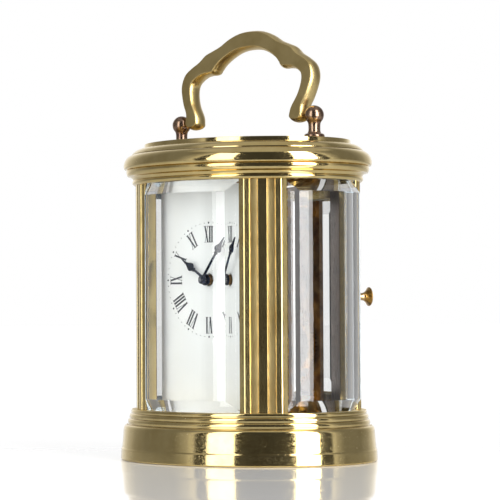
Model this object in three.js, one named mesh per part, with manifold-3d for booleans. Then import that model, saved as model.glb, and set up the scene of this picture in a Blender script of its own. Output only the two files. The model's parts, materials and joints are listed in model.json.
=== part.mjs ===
// Oval carriage clock: a brass case with four grooved pillars, curved bevelled glass, a folding
// handle, a hinged back door and an eight-day movement under a lever platform.
// Lengths are millimetres. +Z is up, the dial faces -Y and +X is on the right of someone facing it.
// The origin is the middle of the underside of the base.

import * as THREE from "three";
import { mergeVertices } from "three/addons/utils/BufferGeometryUtils.js";
import Module from "manifold-3d";

const wasm = await Module();
wasm.setup();

const DEG = Math.PI / 180;
const AXIS = null;

// Case
const OVAL_X = 41; // half width of the oval that the pillar faces follow
const OVAL_Y = 32.8; // half depth of the same oval
const OVAL_STEPS = 32;
const BASE_TOP = 16.8;
const BASE_FLOOR = 12.3; // underside of the base's floor
const CORNICE_BOTTOM = 91.6;
const CORNICE_TOP = 105.4;
const TOP_GLASS_LEDGE = 103;
const GAP = 0.3; // clearance between pieces

// Pillars
const PILLAR_ANGLE = 45.4 * DEG; // where a pillar stands on the oval
const PILLAR_CURVE = 38; // radius of the oval there
const PILLAR_CORE = -2.8; // depth of the screw and the tenon below the face
const TENON_RADIUS = 1.5;
const TENON_TOP = 95.3;
const SCREW_RADIUS = 0.9;
const SCREW_HEAD_RADIUS = 2;
const SCREW_HEAD_BOTTOM = 10.5;
const PILLAR_SCREW_TOP = 26;

// Glass, as depths from the pillar face
const GLASS_FACE = 0.3;
const GLASS_EDGE = -2.25;
const GLASS_BACK = -4.1;
const GLASS_BEVEL = [4.8, 3.8]; // along the pillars, then at the top and bottom
const GLASS_END = 7.3; // distance of a pane's edge from the middle of a pillar

// Back door
const DOOR_END = 6.6;
const DOOR_HINGE_END = 8.2;
const DOOR_FACE = -0.3;
const DOOR_BACK = -3.3;
const DOOR_LIP = -1.3;
const DOOR_STILE = 5;
const DOOR_GLASS = [-0.9, -1.8, DOOR_BACK];
const DOOR_BEVEL = [5, 5];
const DOOR_BOTTOM = 17.2;
const DOOR_TOP = 91.2;
const DOOR_PIN_DEPTH = -1.8;
const DOOR_PIN_RADIUS = 0.6;
const DOOR_KNUCKLE_RADIUS = 1.5;
const LOWER_PIN = [13.5, 21];
const UPPER_PIN = [87.4, 95];
const KNOB_SHANK = 0.7;
const KNOB_NECK = 1.25;
const KNOB_HEAD = 3.2;
const KNOB_HEIGHT = 54;
const KNOB_END = 9.3; // distance of the knob from the middle of a pillar

// Handle
const POST_X = 30.4;
const POST_BALL = 3.15;
const POST_SPIGOT = 1.2;
const PIVOT_HEIGHT = 7.6; // above the top of the cornice
const PIVOT_Z = CORNICE_TOP + PIVOT_HEIGHT;
const HANDLE_LEAN = 7.5 * DEG; // the photographed handle leans to the back
const HANDLE_DEPTH = 5;
const HANDLE_FLAT = 0.6; // straight stretch in the middle of its sides
const HANDLE_SWELL = 0.75; // how far the rounded sides stand out from the front face
const HANDLE_FOOT = 1.3; // how far the front face reaches below the pivot
const HANDLE_STEPS = 30;
const HANDLE_PIN_RADIUS = 0.7;
const HANDLE_PIN = [24, 29.5];

// Outer and inner edge of half the handle's front face, from its foot to the crown, above the pivot
const HANDLE_OUTSIDE = [
  [26.2, 0],
  [26.3, 3.2],
  [27.9, 6.6],
  [29.3, 11],
  [29.4, 14],
  [28.2, 16.9],
  [25.6, 18.9],
  [22.2, 20.8],
  [19.6, 22.9],
  [16.6, 24.1],
  [13.2, 25.4],
  [9, 27.7],
  [4.6, 29.2],
  [0, 29.6],
];
const HANDLE_INSIDE = [
  [21.4, 0],
  [22, 2.7],
  [24.4, 7],
  [25.5, 11],
  [25.2, 13.8],
  [23.4, 15.6],
  [20.8, 16.8],
  [18, 17.2],
  [15.9, 17.3],
  [14.8, 18.6],
  [12.8, 20.6],
  [8.8, 23],
  [4.6, 24.4],
  [0, 24.8],
];

// Movement, front to back
const DIAL_FRONT = -17.5;
const DIAL_BACK = -16;
const FRONT_PLATE = [-11.5, -9.5];
const BACK_PLATE = [13, 15];
const PLATE_HALF_WIDTH = 21;
const PLATE_TOP = 85.6;
const PLATE_PILLARS = [[-17.5, 21.5], [17.5, 21.5], [-17.5, 82], [17.5, 82]];
const DIAL_HALF_WIDTH = 22;
const DIAL_BOTTOM = 17.2;
const DIAL_TOP = 91.2;
const DIAL_FOOT = 1;
const DIAL_FEET = [[-18.5, 34], [18.5, 34], [-18.5, 64], [18.5, 64]];
const PLATE_STUD = 1.2;
const MOVEMENT_SCREW_TOP = 22;
const PIVOT_RADIUS = 0.45;
const SMALL_ARBOR = 0.6;
const CENTRE_ARBOR = 0.55;
const CANNON_PIPE = 1.1;
const HOUR_PIPE = 1.7;
const MINUTE_STUD = 0.35;
const BARREL_REAR = 1.6;

// Tooth counts and modules
const GREAT = { teeth: 72, module: 0.42 };
const INTERMEDIATE_PINION = { teeth: 12, module: 0.42 };
const INTERMEDIATE = { teeth: 70, module: 0.3 };
const CENTRE_PINION = { teeth: 10, module: 0.3 };
const CENTRE = { teeth: 64, module: 0.3 };
const THIRD_PINION = { teeth: 8, module: 0.3 };
const THIRD = { teeth: 60, module: 0.25 };
const CONTRATE_PINION = { teeth: 8, module: 0.25 };
const CONTRATE = { teeth: 60, module: 0.22 };
const ESCAPE_PINION = { teeth: 6, module: 0.22 };
const CANNON = { teeth: 12, module: 0.25 };
const MINUTE = { teeth: 36, module: 0.25 };
const MINUTE_PINION = { teeth: 10, module: 0.24 };
const HOUR = { teeth: 40, module: 0.24 };
const RATCHET_TEETH = 24;
const ESCAPE_TEETH = 15;

// Tooth form, in modules and as a share of the pitch
const ADDENDUM = 0.8;
const DEDENDUM = 1.6;
const GREAT_TIP_SHARE = 0.14;

const COIL_STEPS = 14; // steps in one turn of a coiled spring

// Arbors as [x, z]
const BARREL_AT = [5.2, 37.5];
const CENTRE_AT = [0, 59.7];
const CONTRATE_AT = [7, 77.6];
const INTERMEDIATE_AT = meetingPoint(BARREL_AT, spacing(GREAT, INTERMEDIATE_PINION),
  CENTRE_AT, spacing(INTERMEDIATE, CENTRE_PINION));
const THIRD_AT = meetingPoint(CONTRATE_AT, spacing(THIRD, CONTRATE_PINION),
  CENTRE_AT, spacing(CENTRE, THIRD_PINION));
const MINUTE_ANGLE = -60 * DEG;
const MINUTE_AT = [
  CENTRE_AT[0] + spacing(CANNON, MINUTE) * Math.cos(MINUTE_ANGLE),
  CENTRE_AT[1] + spacing(CANNON, MINUTE) * Math.sin(MINUTE_ANGLE),
];

// Winding ratchet, with the click's places measured from the barrel arbor
const RATCHET_LAYER = [15.4, 16.6];
const CLICK_TOOTH = 140 * DEG;
const CLICK_PIVOT = [-0.6, 9.6];
const CLICK_STUD = 0.7;

// Time shown: six minutes past ten
const MINUTE_HAND_TURN = 36 * DEG;
const HOUR_HAND_TURN = 303 * DEG;

// Platform, seen from above as [x, y]
const PLATFORM_TOP = PLATE_TOP + 1.6;
const CROWN_RADIUS = pitchRadius(CONTRATE);
const CROWN_DISC = [4.6, 5.4];
const CROWN_ROOT = 5.6;
const CROWN_TIP = 6.9;
const ESCAPE_AT = [CONTRATE_AT[0], 6.5 + pitchRadius(ESCAPE_PINION)];
const BALANCE_AT = [-4.5, -1.5];
const BALANCE_RADIUS = 7;
const ESCAPE_RADIUS = 3.4;
const LEVER_REACH = 5; // escape arbor to lever pivot
const ESCAPE_ARBOR = 0.35;

// Levels on the platform
const ESCAPE_ARBOR_BOTTOM = PLATFORM_TOP - 4.8;
const ESCAPE_LEAVES = [PLATFORM_TOP - 3.9, PLATFORM_TOP - 1.9];
const ESCAPE_LAYER = [PLATFORM_TOP + 1.6, PLATFORM_TOP + 2.1];
const LEVER_STAFF_TOP = PLATFORM_TOP + 3.6; // the escape arbor ends there too
const BRIDGE_LAYER = [PLATFORM_TOP + 3.9, PLATFORM_TOP + 4.7];
const BALANCE_LAYER = [PLATFORM_TOP + 4.4, PLATFORM_TOP + 5.4];
const HAIRSPRING_LAYER = [PLATFORM_TOP + 6, PLATFORM_TOP + 6.7];
const BALANCE_STAFF_TOP = PLATFORM_TOP + 8.1;
const COCK_LAYER = [PLATFORM_TOP + 8.4, PLATFORM_TOP + 9.6];

const clock = new THREE.Group();
clock.name = "oval_carriage_clock";

// Finishes

function finish(colour, roughness, metalness) {
  return () => new THREE.MeshStandardMaterial({ color: colour, roughness, metalness });
}

const polishedBrass = finish(0xc9a24a, 0.2, 1);
const satinBrass = finish(0xb9954a, 0.42, 1);
const bronze = finish(0x9a6a3c, 0.3, 1);
const steel = finish(0x9c9fa3, 0.3, 1);
const bluedSteel = finish(0x2a3346, 0.3, 1);
const enamel = finish(0xf2efe8, 0.25, 0);
const clearGlass = finish(0xdfe8ea, 0.05, 0);

function add(name, geometry, material) {
  const mesh = new THREE.Mesh(geometry, material());
  mesh.name = name;
  clock.add(mesh);
  return mesh;
}

// Solids

function solidOf(geometry) {
  const bare = geometry.clone();
  bare.deleteAttribute("normal");
  bare.deleteAttribute("uv");
  const merged = mergeVertices(bare, 1e-4);
  const mesh = new wasm.Mesh({
    numProp: 3,
    vertProperties: Float32Array.from(merged.attributes.position.array),
    triVerts: Uint32Array.from(merged.index.array),
  });
  return new wasm.Manifold(mesh);
}

function geometryOf(solid) {
  const mesh = solid.getMesh();
  const geometry = new THREE.BufferGeometry();
  geometry.setAttribute("position", new THREE.BufferAttribute(Float32Array.from(mesh.vertProperties), 3));
  geometry.setIndex(new THREE.BufferAttribute(Uint32Array.from(mesh.triVerts), 1));
  return geometry;
}

function join(first, ...others) {
  return geometryOf(others.reduce((whole, other) => whole.add(solidOf(other)), solidOf(first)));
}

function cut(first, ...others) {
  return geometryOf(others.reduce((whole, other) => whole.subtract(solidOf(other)), solidOf(first)));
}

// A round bar along Y, or along X or Z, between two places on its axis.
function bar(axis, radius, from, to, sides = 12) {
  const geometry = new THREE.CylinderGeometry(radius, radius, to - from, sides);
  geometry.translate(0, (from + to) / 2, 0);
  if (axis === "z") geometry.rotateX(Math.PI / 2);
  if (axis === "x") geometry.rotateZ(-Math.PI / 2);
  return geometry;
}

function block(x, y, z) {
  const geometry = new THREE.BoxGeometry(x[1] - x[0], y[1] - y[0], z[1] - z[0]);
  geometry.translate((x[0] + x[1]) / 2, (y[0] + y[1]) / 2, (z[0] + z[1]) / 2);
  return geometry;
}

// A turned piece about Y: the profile lists [radius, place along the axis], lowest place first.
function turned(profile, sides = 12) {
  return new THREE.LatheGeometry(profile.map(([radius, along]) => new THREE.Vector2(radius, along)), sides);
}

function upright(geometry) {
  return geometry.rotateX(Math.PI / 2);
}

// A shape drawn in plan and raised from one height to another.
function raised(shape, bottom, top, roundSteps = 6) {
  const settings = { depth: top - bottom, bevelEnabled: false, curveSegments: roundSteps };
  return new THREE.ExtrudeGeometry(shape, settings).translate(0, 0, bottom);
}

// A shape drawn as seen from the front and given depth from one Y to another.
function deepened(shape, front, back, roundSteps = 6) {
  const settings = { depth: back - front, bevelEnabled: false, curveSegments: roundSteps };
  return new THREE.ExtrudeGeometry(shape, settings).rotateX(Math.PI / 2).translate(0, back, 0);
}

function rectangle(x, y) {
  return new THREE.Shape([
    new THREE.Vector2(x[0], y[0]),
    new THREE.Vector2(x[1], y[0]),
    new THREE.Vector2(x[1], y[1]),
    new THREE.Vector2(x[0], y[1]),
  ]);
}

function roundHole(shape, [x, y], radius) {
  shape.holes.push(new THREE.Path().absarc(x, y, radius, 0, 2 * Math.PI, true));
}

// The oval

function ovalNormal(angle) {
  return new THREE.Vector2(OVAL_Y * Math.cos(angle), OVAL_X * Math.sin(angle)).normalize();
}

function ovalPoint(angle, offset) {
  const onOval = new THREE.Vector2(OVAL_X * Math.cos(angle), OVAL_Y * Math.sin(angle));
  return onOval.addScaledVector(ovalNormal(angle), offset);
}

// Length of the oval's edge for each radian of the angle.
function ovalPace(angle) {
  return Math.hypot(OVAL_X * Math.sin(angle), OVAL_Y * Math.cos(angle));
}

// A closed surface from rings of points, each ring joined to the next one.
function skinOf(rings, closed) {
  const positions = [];
  const starts = [];
  for (const ring of rings) {
    starts.push(positions.length / 3);
    for (const point of ring) positions.push(point.x, point.y, point.z);
  }
  const triangles = [];
  const last = closed ? rings.length : rings.length - 1;
  for (let i = 0; i < last; i++) {
    const next = (i + 1) % rings.length;
    const here = (j) => starts[i] + (j % rings[i].length);
    const there = (j) => starts[next] + (j % rings[next].length);
    for (let j = 0; j < Math.max(rings[i].length, rings[next].length); j++) {
      if (rings[i].length > 1) triangles.push(here(j), here(j + 1), there(j + 1));
      if (rings[next].length > 1) triangles.push(here(j), there(j + 1), there(j));
    }
  }
  const geometry = new THREE.BufferGeometry();
  geometry.setAttribute("position", new THREE.Float32BufferAttribute(positions, 3));
  geometry.setIndex(triangles);
  return geometry;
}

// A moulding round the oval: the profile lists [offset, height], and AXIS is the centre line.
function moulding(profile, closed = false) {
  const rings = profile.map(([offset, height]) => {
    if (offset === AXIS) return [new THREE.Vector3(0, 0, height)];
    return Array.from({ length: OVAL_STEPS }, (_, j) => {
      const place = ovalPoint((j / OVAL_STEPS) * 2 * Math.PI, offset);
      return new THREE.Vector3(place.x, place.y, height);
    });
  });
  return skinOf(rings, closed);
}

// A plate of even thickness that follows the oval between two angles.
function curvedPlate([face, back], [from, to], [bottom, top], steps = 10) {
  const angles = Array.from({ length: steps + 1 }, (_, i) => from + ((to - from) * i) / steps);
  const outer = angles.map((angle) => ovalPoint(angle, face));
  const inner = angles.reverse().map((angle) => ovalPoint(angle, back));
  return raised(new THREE.Shape([...outer, ...inner]), bottom, top);
}

// A curved pane with a bevel cut on its outer face along all four edges.
function bevelledPane([face, edge, back], [from, to], [bottom, top], [aside, ends], steps = 10) {
  const lead = aside / ovalPace(from);
  const pace = (to - from - 2 * lead) / steps;
  const inside = Array.from({ length: steps + 1 }, (_, i) => from + lead + i * pace);
  const angles = [from, ...inside, to];
  const heights = [bottom, bottom + ends, top - ends, top];
  const rings = angles.map((angle, i) => {
    const onSide = i === 0 || i === angles.length - 1;
    const front = heights.map((height, k) => {
      const place = ovalPoint(angle, onSide || k === 0 || k === 3 ? edge : face);
      return new THREE.Vector3(place.x, place.y, height);
    });
    const behind = heights.map((height) => {
      const place = ovalPoint(angle, back);
      return new THREE.Vector3(place.x, place.y, height);
    });
    return [...front, ...behind.reverse()];
  });
  return closeEnds(rings);
}

// A bar through equal rings, with both end rings filled as strips of four-sided faces.
function closeEnds(rings) {
  const geometry = skinOf(rings, false);
  const count = rings[0].length;
  const triangles = Array.from(geometry.index.array);
  const endStart = (rings.length - 1) * count;
  for (let k = 0; k + 1 < count / 2; k++) {
    const [a, b, c, d] = [k, k + 1, count - 2 - k, count - 1 - k];
    triangles.push(a, c, b, a, d, c);
    triangles.push(endStart + a, endStart + b, endStart + c, endStart + a, endStart + c, endStart + d);
  }
  geometry.setIndex(triangles);
  return turnOutward(geometry);
}

// Swaps the winding of a closed surface whose faces look inward.
function turnOutward(geometry) {
  const places = geometry.attributes.position;
  const order = Array.from(geometry.index.array);
  const corner = (i) => new THREE.Vector3().fromBufferAttribute(places, order[i]);
  let volume = 0;
  for (let i = 0; i < order.length; i += 3) volume += corner(i).dot(corner(i + 1).cross(corner(i + 2)));
  for (let i = 0; volume < 0 && i < order.length; i += 3) {
    [order[i], order[i + 1]] = [order[i + 1], order[i]];
  }
  geometry.setIndex(order);
  return geometry;
}

// Wheels

function pitchRadius({ teeth, module }) {
  return (teeth * module) / 2;
}

function spacing(wheel, pinion) {
  return pitchRadius(wheel) + pitchRadius(pinion);
}

// The point at given distances from two arbors, on the left of the way from the first to the second.
function meetingPoint(first, firstReach, second, secondReach) {
  const across = [second[0] - first[0], second[1] - first[1]];
  const length = Math.hypot(...across);
  const along = (firstReach ** 2 - secondReach ** 2 + length ** 2) / (2 * length);
  const aside = Math.sqrt(firstReach ** 2 - along ** 2);
  return [
    first[0] + (across[0] * along - across[1] * aside) / length,
    first[1] + (across[1] * along + across[0] * aside) / length,
  ];
}

function bearing(from, to) {
  return Math.atan2(to[1] - from[1], to[0] - from[0]);
}

// Angle of a tooth on the second wheel, so that its teeth stand in the gaps of the first wheel.
function meshAngle(first, firstTooth, direction, second) {
  const firstPitch = (2 * Math.PI) / first.teeth;
  const secondPitch = (2 * Math.PI) / second.teeth;
  const share = 0.5 - (direction - firstTooth) / firstPitch;
  return direction + Math.PI - share * secondPitch;
}

function polar(radius, angle) {
  return new THREE.Vector2(radius * Math.cos(angle), radius * Math.sin(angle));
}

// A toothed outline with straight flanks and pointed gaps. Its teeth are pointed too,
// unless their tips take a share of the pitch.
function toothedShape({ teeth, module }, toothAngle = 0, tipShare = 0) {
  const pitch = (2 * Math.PI) / teeth;
  const tip = (teeth * module) / 2 + ADDENDUM * module;
  const root = (teeth * module) / 2 - DEDENDUM * module;
  const outline = [];
  for (let i = 0; i < teeth; i++) {
    const middle = toothAngle + i * pitch;
    outline.push(polar(tip, middle - (tipShare * pitch) / 2));
    if (tipShare > 0) outline.push(polar(tip, middle + (tipShare * pitch) / 2));
    outline.push(polar(root, middle + pitch / 2));
  }
  return new THREE.Shape(outline);
}

// Openings between the arms of a wheel.
function crossings(shape, arms, hub, rim, armWidth) {
  const step = (2 * Math.PI) / arms;
  for (let i = 0; i < arms; i++) {
    const outerLead = armWidth / 2 / rim;
    const innerLead = armWidth / 2 / hub;
    const rimAngles = [0, 1, 2, 3].map((k) => i * step + outerLead + ((step - 2 * outerLead) * k) / 3);
    const hubAngles = [(i + 1) * step - innerLead, i * step + innerLead];
    const rimEdge = rimAngles.map((angle) => polar(rim, angle));
    const hubEdge = hubAngles.map((angle) => polar(hub, angle));
    shape.holes.push(new THREE.Path([...rimEdge, ...hubEdge]));
  }
  return shape;
}

function trainWheel(wheel, toothAngle, bore, front, back) {
  const shape = toothedShape(wheel, toothAngle);
  const root = pitchRadius(wheel) - DEDENDUM * wheel.module;
  crossings(shape, 4, bore + 1.1, root - 1, 1.2);
  roundHole(shape, [0, 0], bore);
  return deepened(shape, front, back, 4);
}

function pinionLeaves(pinion, toothAngle, front, back) {
  return deepened(toothedShape(pinion, toothAngle), front, back);
}

// An arbor between the plates, with a thinner pivot in each plate.
function arbor(radius) {
  return turned([
    [0, FRONT_PLATE[0] + GAP],
    [PIVOT_RADIUS, FRONT_PLATE[0] + GAP],
    [PIVOT_RADIUS, FRONT_PLATE[1] + GAP],
    [radius, FRONT_PLATE[1] + GAP],
    [radius, BACK_PLATE[0] - GAP],
    [PIVOT_RADIUS, BACK_PLATE[0] - GAP],
    [PIVOT_RADIUS, BACK_PLATE[1] - GAP],
    [0, BACK_PLATE[1] - GAP],
  ], 8);
}

// A flat coiled spring about its own axis, as a strip between two levels.
function coiledStrip([inner, outer], turns, thickness, [low, high], label) {
  const steps = turns * COIL_STEPS;
  const middle = Array.from({ length: steps + 1 }, (_, i) => ({
    angle: (i / COIL_STEPS) * 2 * Math.PI,
    radius: inner + ((outer - inner) * i) / steps,
  }));
  const rings = middle.map(({ angle, radius }) => {
    const near = polar(radius - thickness / 2, angle);
    const far = polar(radius + thickness / 2, angle);
    return [
      new THREE.Vector3(near.x, near.y, low),
      new THREE.Vector3(far.x, far.y, low),
      new THREE.Vector3(far.x, far.y, high),
      new THREE.Vector3(near.x, near.y, high),
    ];
  });
  console.log(`${label}: least gap between turns ${leastGap(middle, thickness).toFixed(2)} mm`);
  return closeEnds(rings);
}

function leastGap(middle, thickness) {
  const points = middle.map(({ angle, radius }) => polar(radius, angle));
  let least = Infinity;
  points.forEach((point, i) => {
    for (let j = i + COIL_STEPS / 2; j < points.length; j++) {
      least = Math.min(least, point.distanceTo(points[j]));
    }
  });
  return least - thickness;
}

// Case

// Pillars count round the oval from the rear right one.
const PILLAR_ANGLES = [PILLAR_ANGLE, Math.PI - PILLAR_ANGLE, Math.PI + PILLAR_ANGLE, -PILLAR_ANGLE];
const PILLAR_NAMES = ["rear_right", "rear_left", "front_left", "front_right"];
const PILLAR_PACE = ovalPace(PILLAR_ANGLE);

// Half of a pillar's outline from the middle of its face: distance along the face, then depth.
const PILLAR_FACE = [
  [1.5, 0],
  [1.7, -0.65],
  [2.85, -0.75],
  [4, -0.65],
  [4.2, 0],
  [5.7, 0],
  [6.5, -0.35],
];
const PILLAR_GLASS_SIDE = [
  [6.55, -0.6],
  [7.7, -1.3],
  [7.7, -1.75],
  [6.2, -1.75],
  [6.2, -4.4],
  [7.2, -4.4],
  [6, -6.7],
];
const PILLAR_DOOR_SIDE = [
  [5.6, -3.6],
  [8.4, -3.6],
  [8.4, -4.7],
  [6, -6.7],
];

function uprightBar(place, radius, bottom, top) {
  return bar("z", radius, bottom, top).translate(place.x, place.y, 0);
}

function pillarCore(angle) {
  return ovalPoint(angle, PILLAR_CORE);
}

function movementScrewPlaces() {
  const y = (FRONT_PLATE[1] + BACK_PLATE[0]) / 2;
  return PLATE_PILLARS.slice(0, 2).map(([x]) => new THREE.Vector2(x, y));
}

function doorPinPlace() {
  return ovalPoint(doorHingeAngle(), DOOR_PIN_DEPTH);
}

function doorHingeAngle() {
  return Math.PI - PILLAR_ANGLE - DOOR_HINGE_END / PILLAR_PACE;
}

function base() {
  const body = moulding([
    [AXIS, BASE_FLOOR],
    [1, BASE_FLOOR],
    [1, 0],
    [5, 0],
    [5.3, 0.4],
    [5.15, 3.8],
    [4.9, 4.3],
    [4.35, 10.4],
    [3.5, 11.7],
    [2.85, 11.8],
    [2.85, 13.6],
    [2.3, 13.7],
    [2.3, 15.4],
    [1.75, 15.5],
    [1.6, BASE_TOP],
    [AXIS, BASE_TOP],
  ]);
  const places = [...PILLAR_ANGLES.map(pillarCore), ...movementScrewPlaces()];
  const screwHoles = places.map((place) =>
    uprightBar(place, SCREW_RADIUS + GAP, BASE_FLOOR - 1, BASE_TOP + 1));
  const pinHole = uprightBar(doorPinPlace(), DOOR_PIN_RADIUS + GAP, LOWER_PIN[0] - GAP, BASE_TOP + 1);
  return cut(body, ...screwHoles, pinHole);
}

function cornice() {
  const body = moulding([
    [-6.2, CORNICE_BOTTOM],
    [0.4, CORNICE_BOTTOM],
    [1.1, 92.3],
    [0.9, 93.4],
    [1.4, 94.2],
    [2.7, 94.6],
    [3.1, 96.6],
    [2.8, 96.8],
    [3.8, 97],
    [4.05, 98.2],
    [3.8, 99.4],
    [3.1, 100.6],
    [1.5, 101.7],
    [1.2, 102.1],
    [0, 103.2],
    [-2.4, 104],
    [-3, 104],
    [-3, CORNICE_TOP],
    [-14.6, CORNICE_TOP],
    [-14.6, TOP_GLASS_LEDGE],
    [-16.5, TOP_GLASS_LEDGE],
    [-16.5, 101.6],
    [-6.2, 101.6],
  ], true);
  const tenonHoles = PILLAR_ANGLES.map((angle) =>
    uprightBar(pillarCore(angle), TENON_RADIUS + GAP, CORNICE_BOTTOM - 1, TENON_TOP + GAP));
  const postHoles = [-POST_X, POST_X].map((x) =>
    uprightBar({ x, y: 0 }, POST_SPIGOT + GAP, CORNICE_TOP - 3.2, CORNICE_TOP + 1));
  const pinHole = uprightBar(doorPinPlace(), DOOR_PIN_RADIUS + GAP, CORNICE_BOTTOM - 1, UPPER_PIN[1] + GAP);
  return cut(body, ...tenonHoles, ...postHoles, pinHole);
}

function topGlass() {
  return moulding([
    [AXIS, TOP_GLASS_LEDGE],
    [-14.9, TOP_GLASS_LEDGE],
    [-14.9, 104.2],
    [-18.6, 105.2],
    [AXIS, 105.2],
  ]);
}

// A pillar is drawn with its face toward +Y, then turned to face out of the oval.
function pillar(index) {
  const doorSide = [-1, 1][index];
  const half = (side) => {
    const outline = [...PILLAR_FACE, ...(side === doorSide ? PILLAR_DOOR_SIDE : PILLAR_GLASS_SIDE)];
    return outline.map(([along, depth]) =>
      new THREE.Vector2(side * along, depth - along ** 2 / (2 * PILLAR_CURVE)));
  };
  const shape = new THREE.Shape([...half(-1).reverse(), ...half(1)]);
  const core = { x: 0, y: PILLAR_CORE };
  const tenon = uprightBar(core, TENON_RADIUS, CORNICE_BOTTOM - 1, TENON_TOP);
  const screwHole = uprightBar(core, SCREW_RADIUS + GAP, BASE_TOP - 1, PILLAR_SCREW_TOP + GAP);
  const body = cut(join(raised(shape, BASE_TOP, CORNICE_BOTTOM), tenon), screwHole);
  const normal = ovalNormal(PILLAR_ANGLES[index]);
  const place = ovalPoint(PILLAR_ANGLES[index], 0);
  return body.rotateZ(Math.atan2(normal.y, normal.x) - Math.PI / 2).translate(place.x, place.y, 0);
}

// A cheese-head screw that comes up from under the base's floor.
function floorScrew(place, top) {
  const profile = [
    [0, SCREW_HEAD_BOTTOM],
    [SCREW_HEAD_RADIUS, SCREW_HEAD_BOTTOM],
    [SCREW_HEAD_RADIUS, BASE_FLOOR],
    [SCREW_RADIUS, BASE_FLOOR],
    [SCREW_RADIUS, top],
    [0, top],
  ];
  const slot = block([-3, 3], [-0.3, 0.3], [SCREW_HEAD_BOTTOM - 1, SCREW_HEAD_BOTTOM + 0.7]);
  return cut(upright(turned(profile, 10)), slot).translate(place.x, place.y, 0);
}

function casePane(from, to) {
  const depths = [GLASS_FACE, GLASS_EDGE, GLASS_BACK];
  return bevelledPane(depths, [from, to], [BASE_TOP, CORNICE_BOTTOM], GLASS_BEVEL);
}

function addCase() {
  const lead = GLASS_END / PILLAR_PACE;
  const side = PILLAR_ANGLE - lead;
  const front = PILLAR_ANGLE + lead;
  add("base", base(), polishedBrass);
  add("cornice", cornice(), polishedBrass);
  add("top_glass", topGlass(), clearGlass);
  PILLAR_NAMES.forEach((name, index) => {
    add(`pillar_${name}`, pillar(index), polishedBrass);
    add(`pillar_screw_${name}`, floorScrew(pillarCore(PILLAR_ANGLES[index]), PILLAR_SCREW_TOP), steel);
  });
  add("front_glass", casePane(Math.PI + front, 2 * Math.PI - front), clearGlass);
  add("left_glass", casePane(Math.PI - side, Math.PI + side), clearGlass);
  add("right_glass", casePane(-side, side), clearGlass);
}

// Back door

function doorFrame() {
  const hinge = doorHingeAngle();
  const free = PILLAR_ANGLE + DOOR_END / PILLAR_PACE;
  const window = doorWindow(0);
  const rebate = doorWindow(1);
  const slab = curvedPlate([DOOR_FACE, DOOR_BACK], [free, hinge], [DOOR_BOTTOM, DOOR_TOP]);
  const knuckle = uprightBar(doorPinPlace(), DOOR_KNUCKLE_RADIUS, DOOR_BOTTOM, DOOR_TOP);
  const opening = curvedPlate([DOOR_FACE + 2, DOOR_BACK - 2], window.angles, window.heights);
  const seat = curvedPlate([DOOR_LIP, DOOR_BACK - 2], rebate.angles, rebate.heights);
  const lowerHole = uprightBar(doorPinPlace(), DOOR_PIN_RADIUS + GAP, DOOR_BOTTOM - 1, LOWER_PIN[1] + GAP);
  const upperHole = uprightBar(doorPinPlace(), DOOR_PIN_RADIUS + GAP, UPPER_PIN[0] - GAP, DOOR_TOP + 1);
  const shankHole = atKnob(bar("y", KNOB_SHANK + GAP, -4, 2));
  return cut(join(slab, knuckle), opening, seat, lowerHole, upperHole, shankHole);
}

// Limits of the door's window, made larger all round by a margin.
function doorWindow(margin) {
  const free = PILLAR_ANGLE + (DOOR_END + DOOR_STILE - margin) / PILLAR_PACE;
  const hinge = doorHingeAngle() - (DOOR_STILE - DOOR_KNUCKLE_RADIUS - margin) / PILLAR_PACE;
  const heights = [DOOR_BOTTOM + DOOR_STILE - margin, DOOR_TOP - DOOR_STILE + margin];
  return { angles: [free, hinge], heights };
}

// Moves a piece drawn about Y so that Y points out of the door at the knob.
function atKnob(geometry) {
  const angle = PILLAR_ANGLE + KNOB_END / PILLAR_PACE;
  const normal = ovalNormal(angle);
  const place = ovalPoint(angle, DOOR_FACE);
  return geometry
    .rotateZ(Math.atan2(normal.y, normal.x) - Math.PI / 2)
    .translate(place.x, place.y, KNOB_HEIGHT);
}

function doorKnob() {
  const profile = [
    [0, -2.6],
    [KNOB_SHANK, -2.6],
    [KNOB_SHANK, GAP / 3],
    [1.8, GAP / 3],
    [1.8, 0.7],
    [KNOB_NECK, 1.2],
    [KNOB_NECK, 4.6],
    [1.8, 5.9],
    [KNOB_HEAD, 7.2],
    [KNOB_HEAD, 7.5],
    [2, 7.9],
    [0, 8],
  ];
  return atKnob(turned(profile));
}

function doorPane() {
  const seat = doorWindow(1 - GAP);
  return bevelledPane(DOOR_GLASS, seat.angles, seat.heights, DOOR_BEVEL);
}

function addDoor() {
  add("door_frame", doorFrame(), polishedBrass);
  add("door_glass", doorPane(), clearGlass);
  add("door_knob", doorKnob(), polishedBrass);
  add("door_pin_lower", uprightBar(doorPinPlace(), DOOR_PIN_RADIUS, ...LOWER_PIN), steel);
  add("door_pin_upper", uprightBar(doorPinPlace(), DOOR_PIN_RADIUS, ...UPPER_PIN), steel);
}

// Handle

// A smooth line from the right foot over the crown to the left foot.
function handleEdge(half) {
  const right = half.map(([across, above]) => new THREE.Vector2(across, above));
  const left = right.slice(0, -1).reverse().map(({ x, y }) => new THREE.Vector2(-x, y));
  return new THREE.SplineCurve([...right, ...left]).getPoints(HANDLE_STEPS);
}

// The round end of a foot, from its left side to its right side.
function footEnd(side) {
  const [outer, inner] = [HANDLE_OUTSIDE[0][0], HANDLE_INSIDE[0][0]];
  const middle = (side * (outer + inner)) / 2;
  const reach = (outer - inner) / 2;
  const angles = [1, 2, 3, 4, 5].map((i) => Math.PI * (1 + i / 6));
  return angles.map((angle) =>
    new THREE.Vector2(middle + reach * Math.cos(angle), HANDLE_FOOT * Math.sin(angle)));
}

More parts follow.
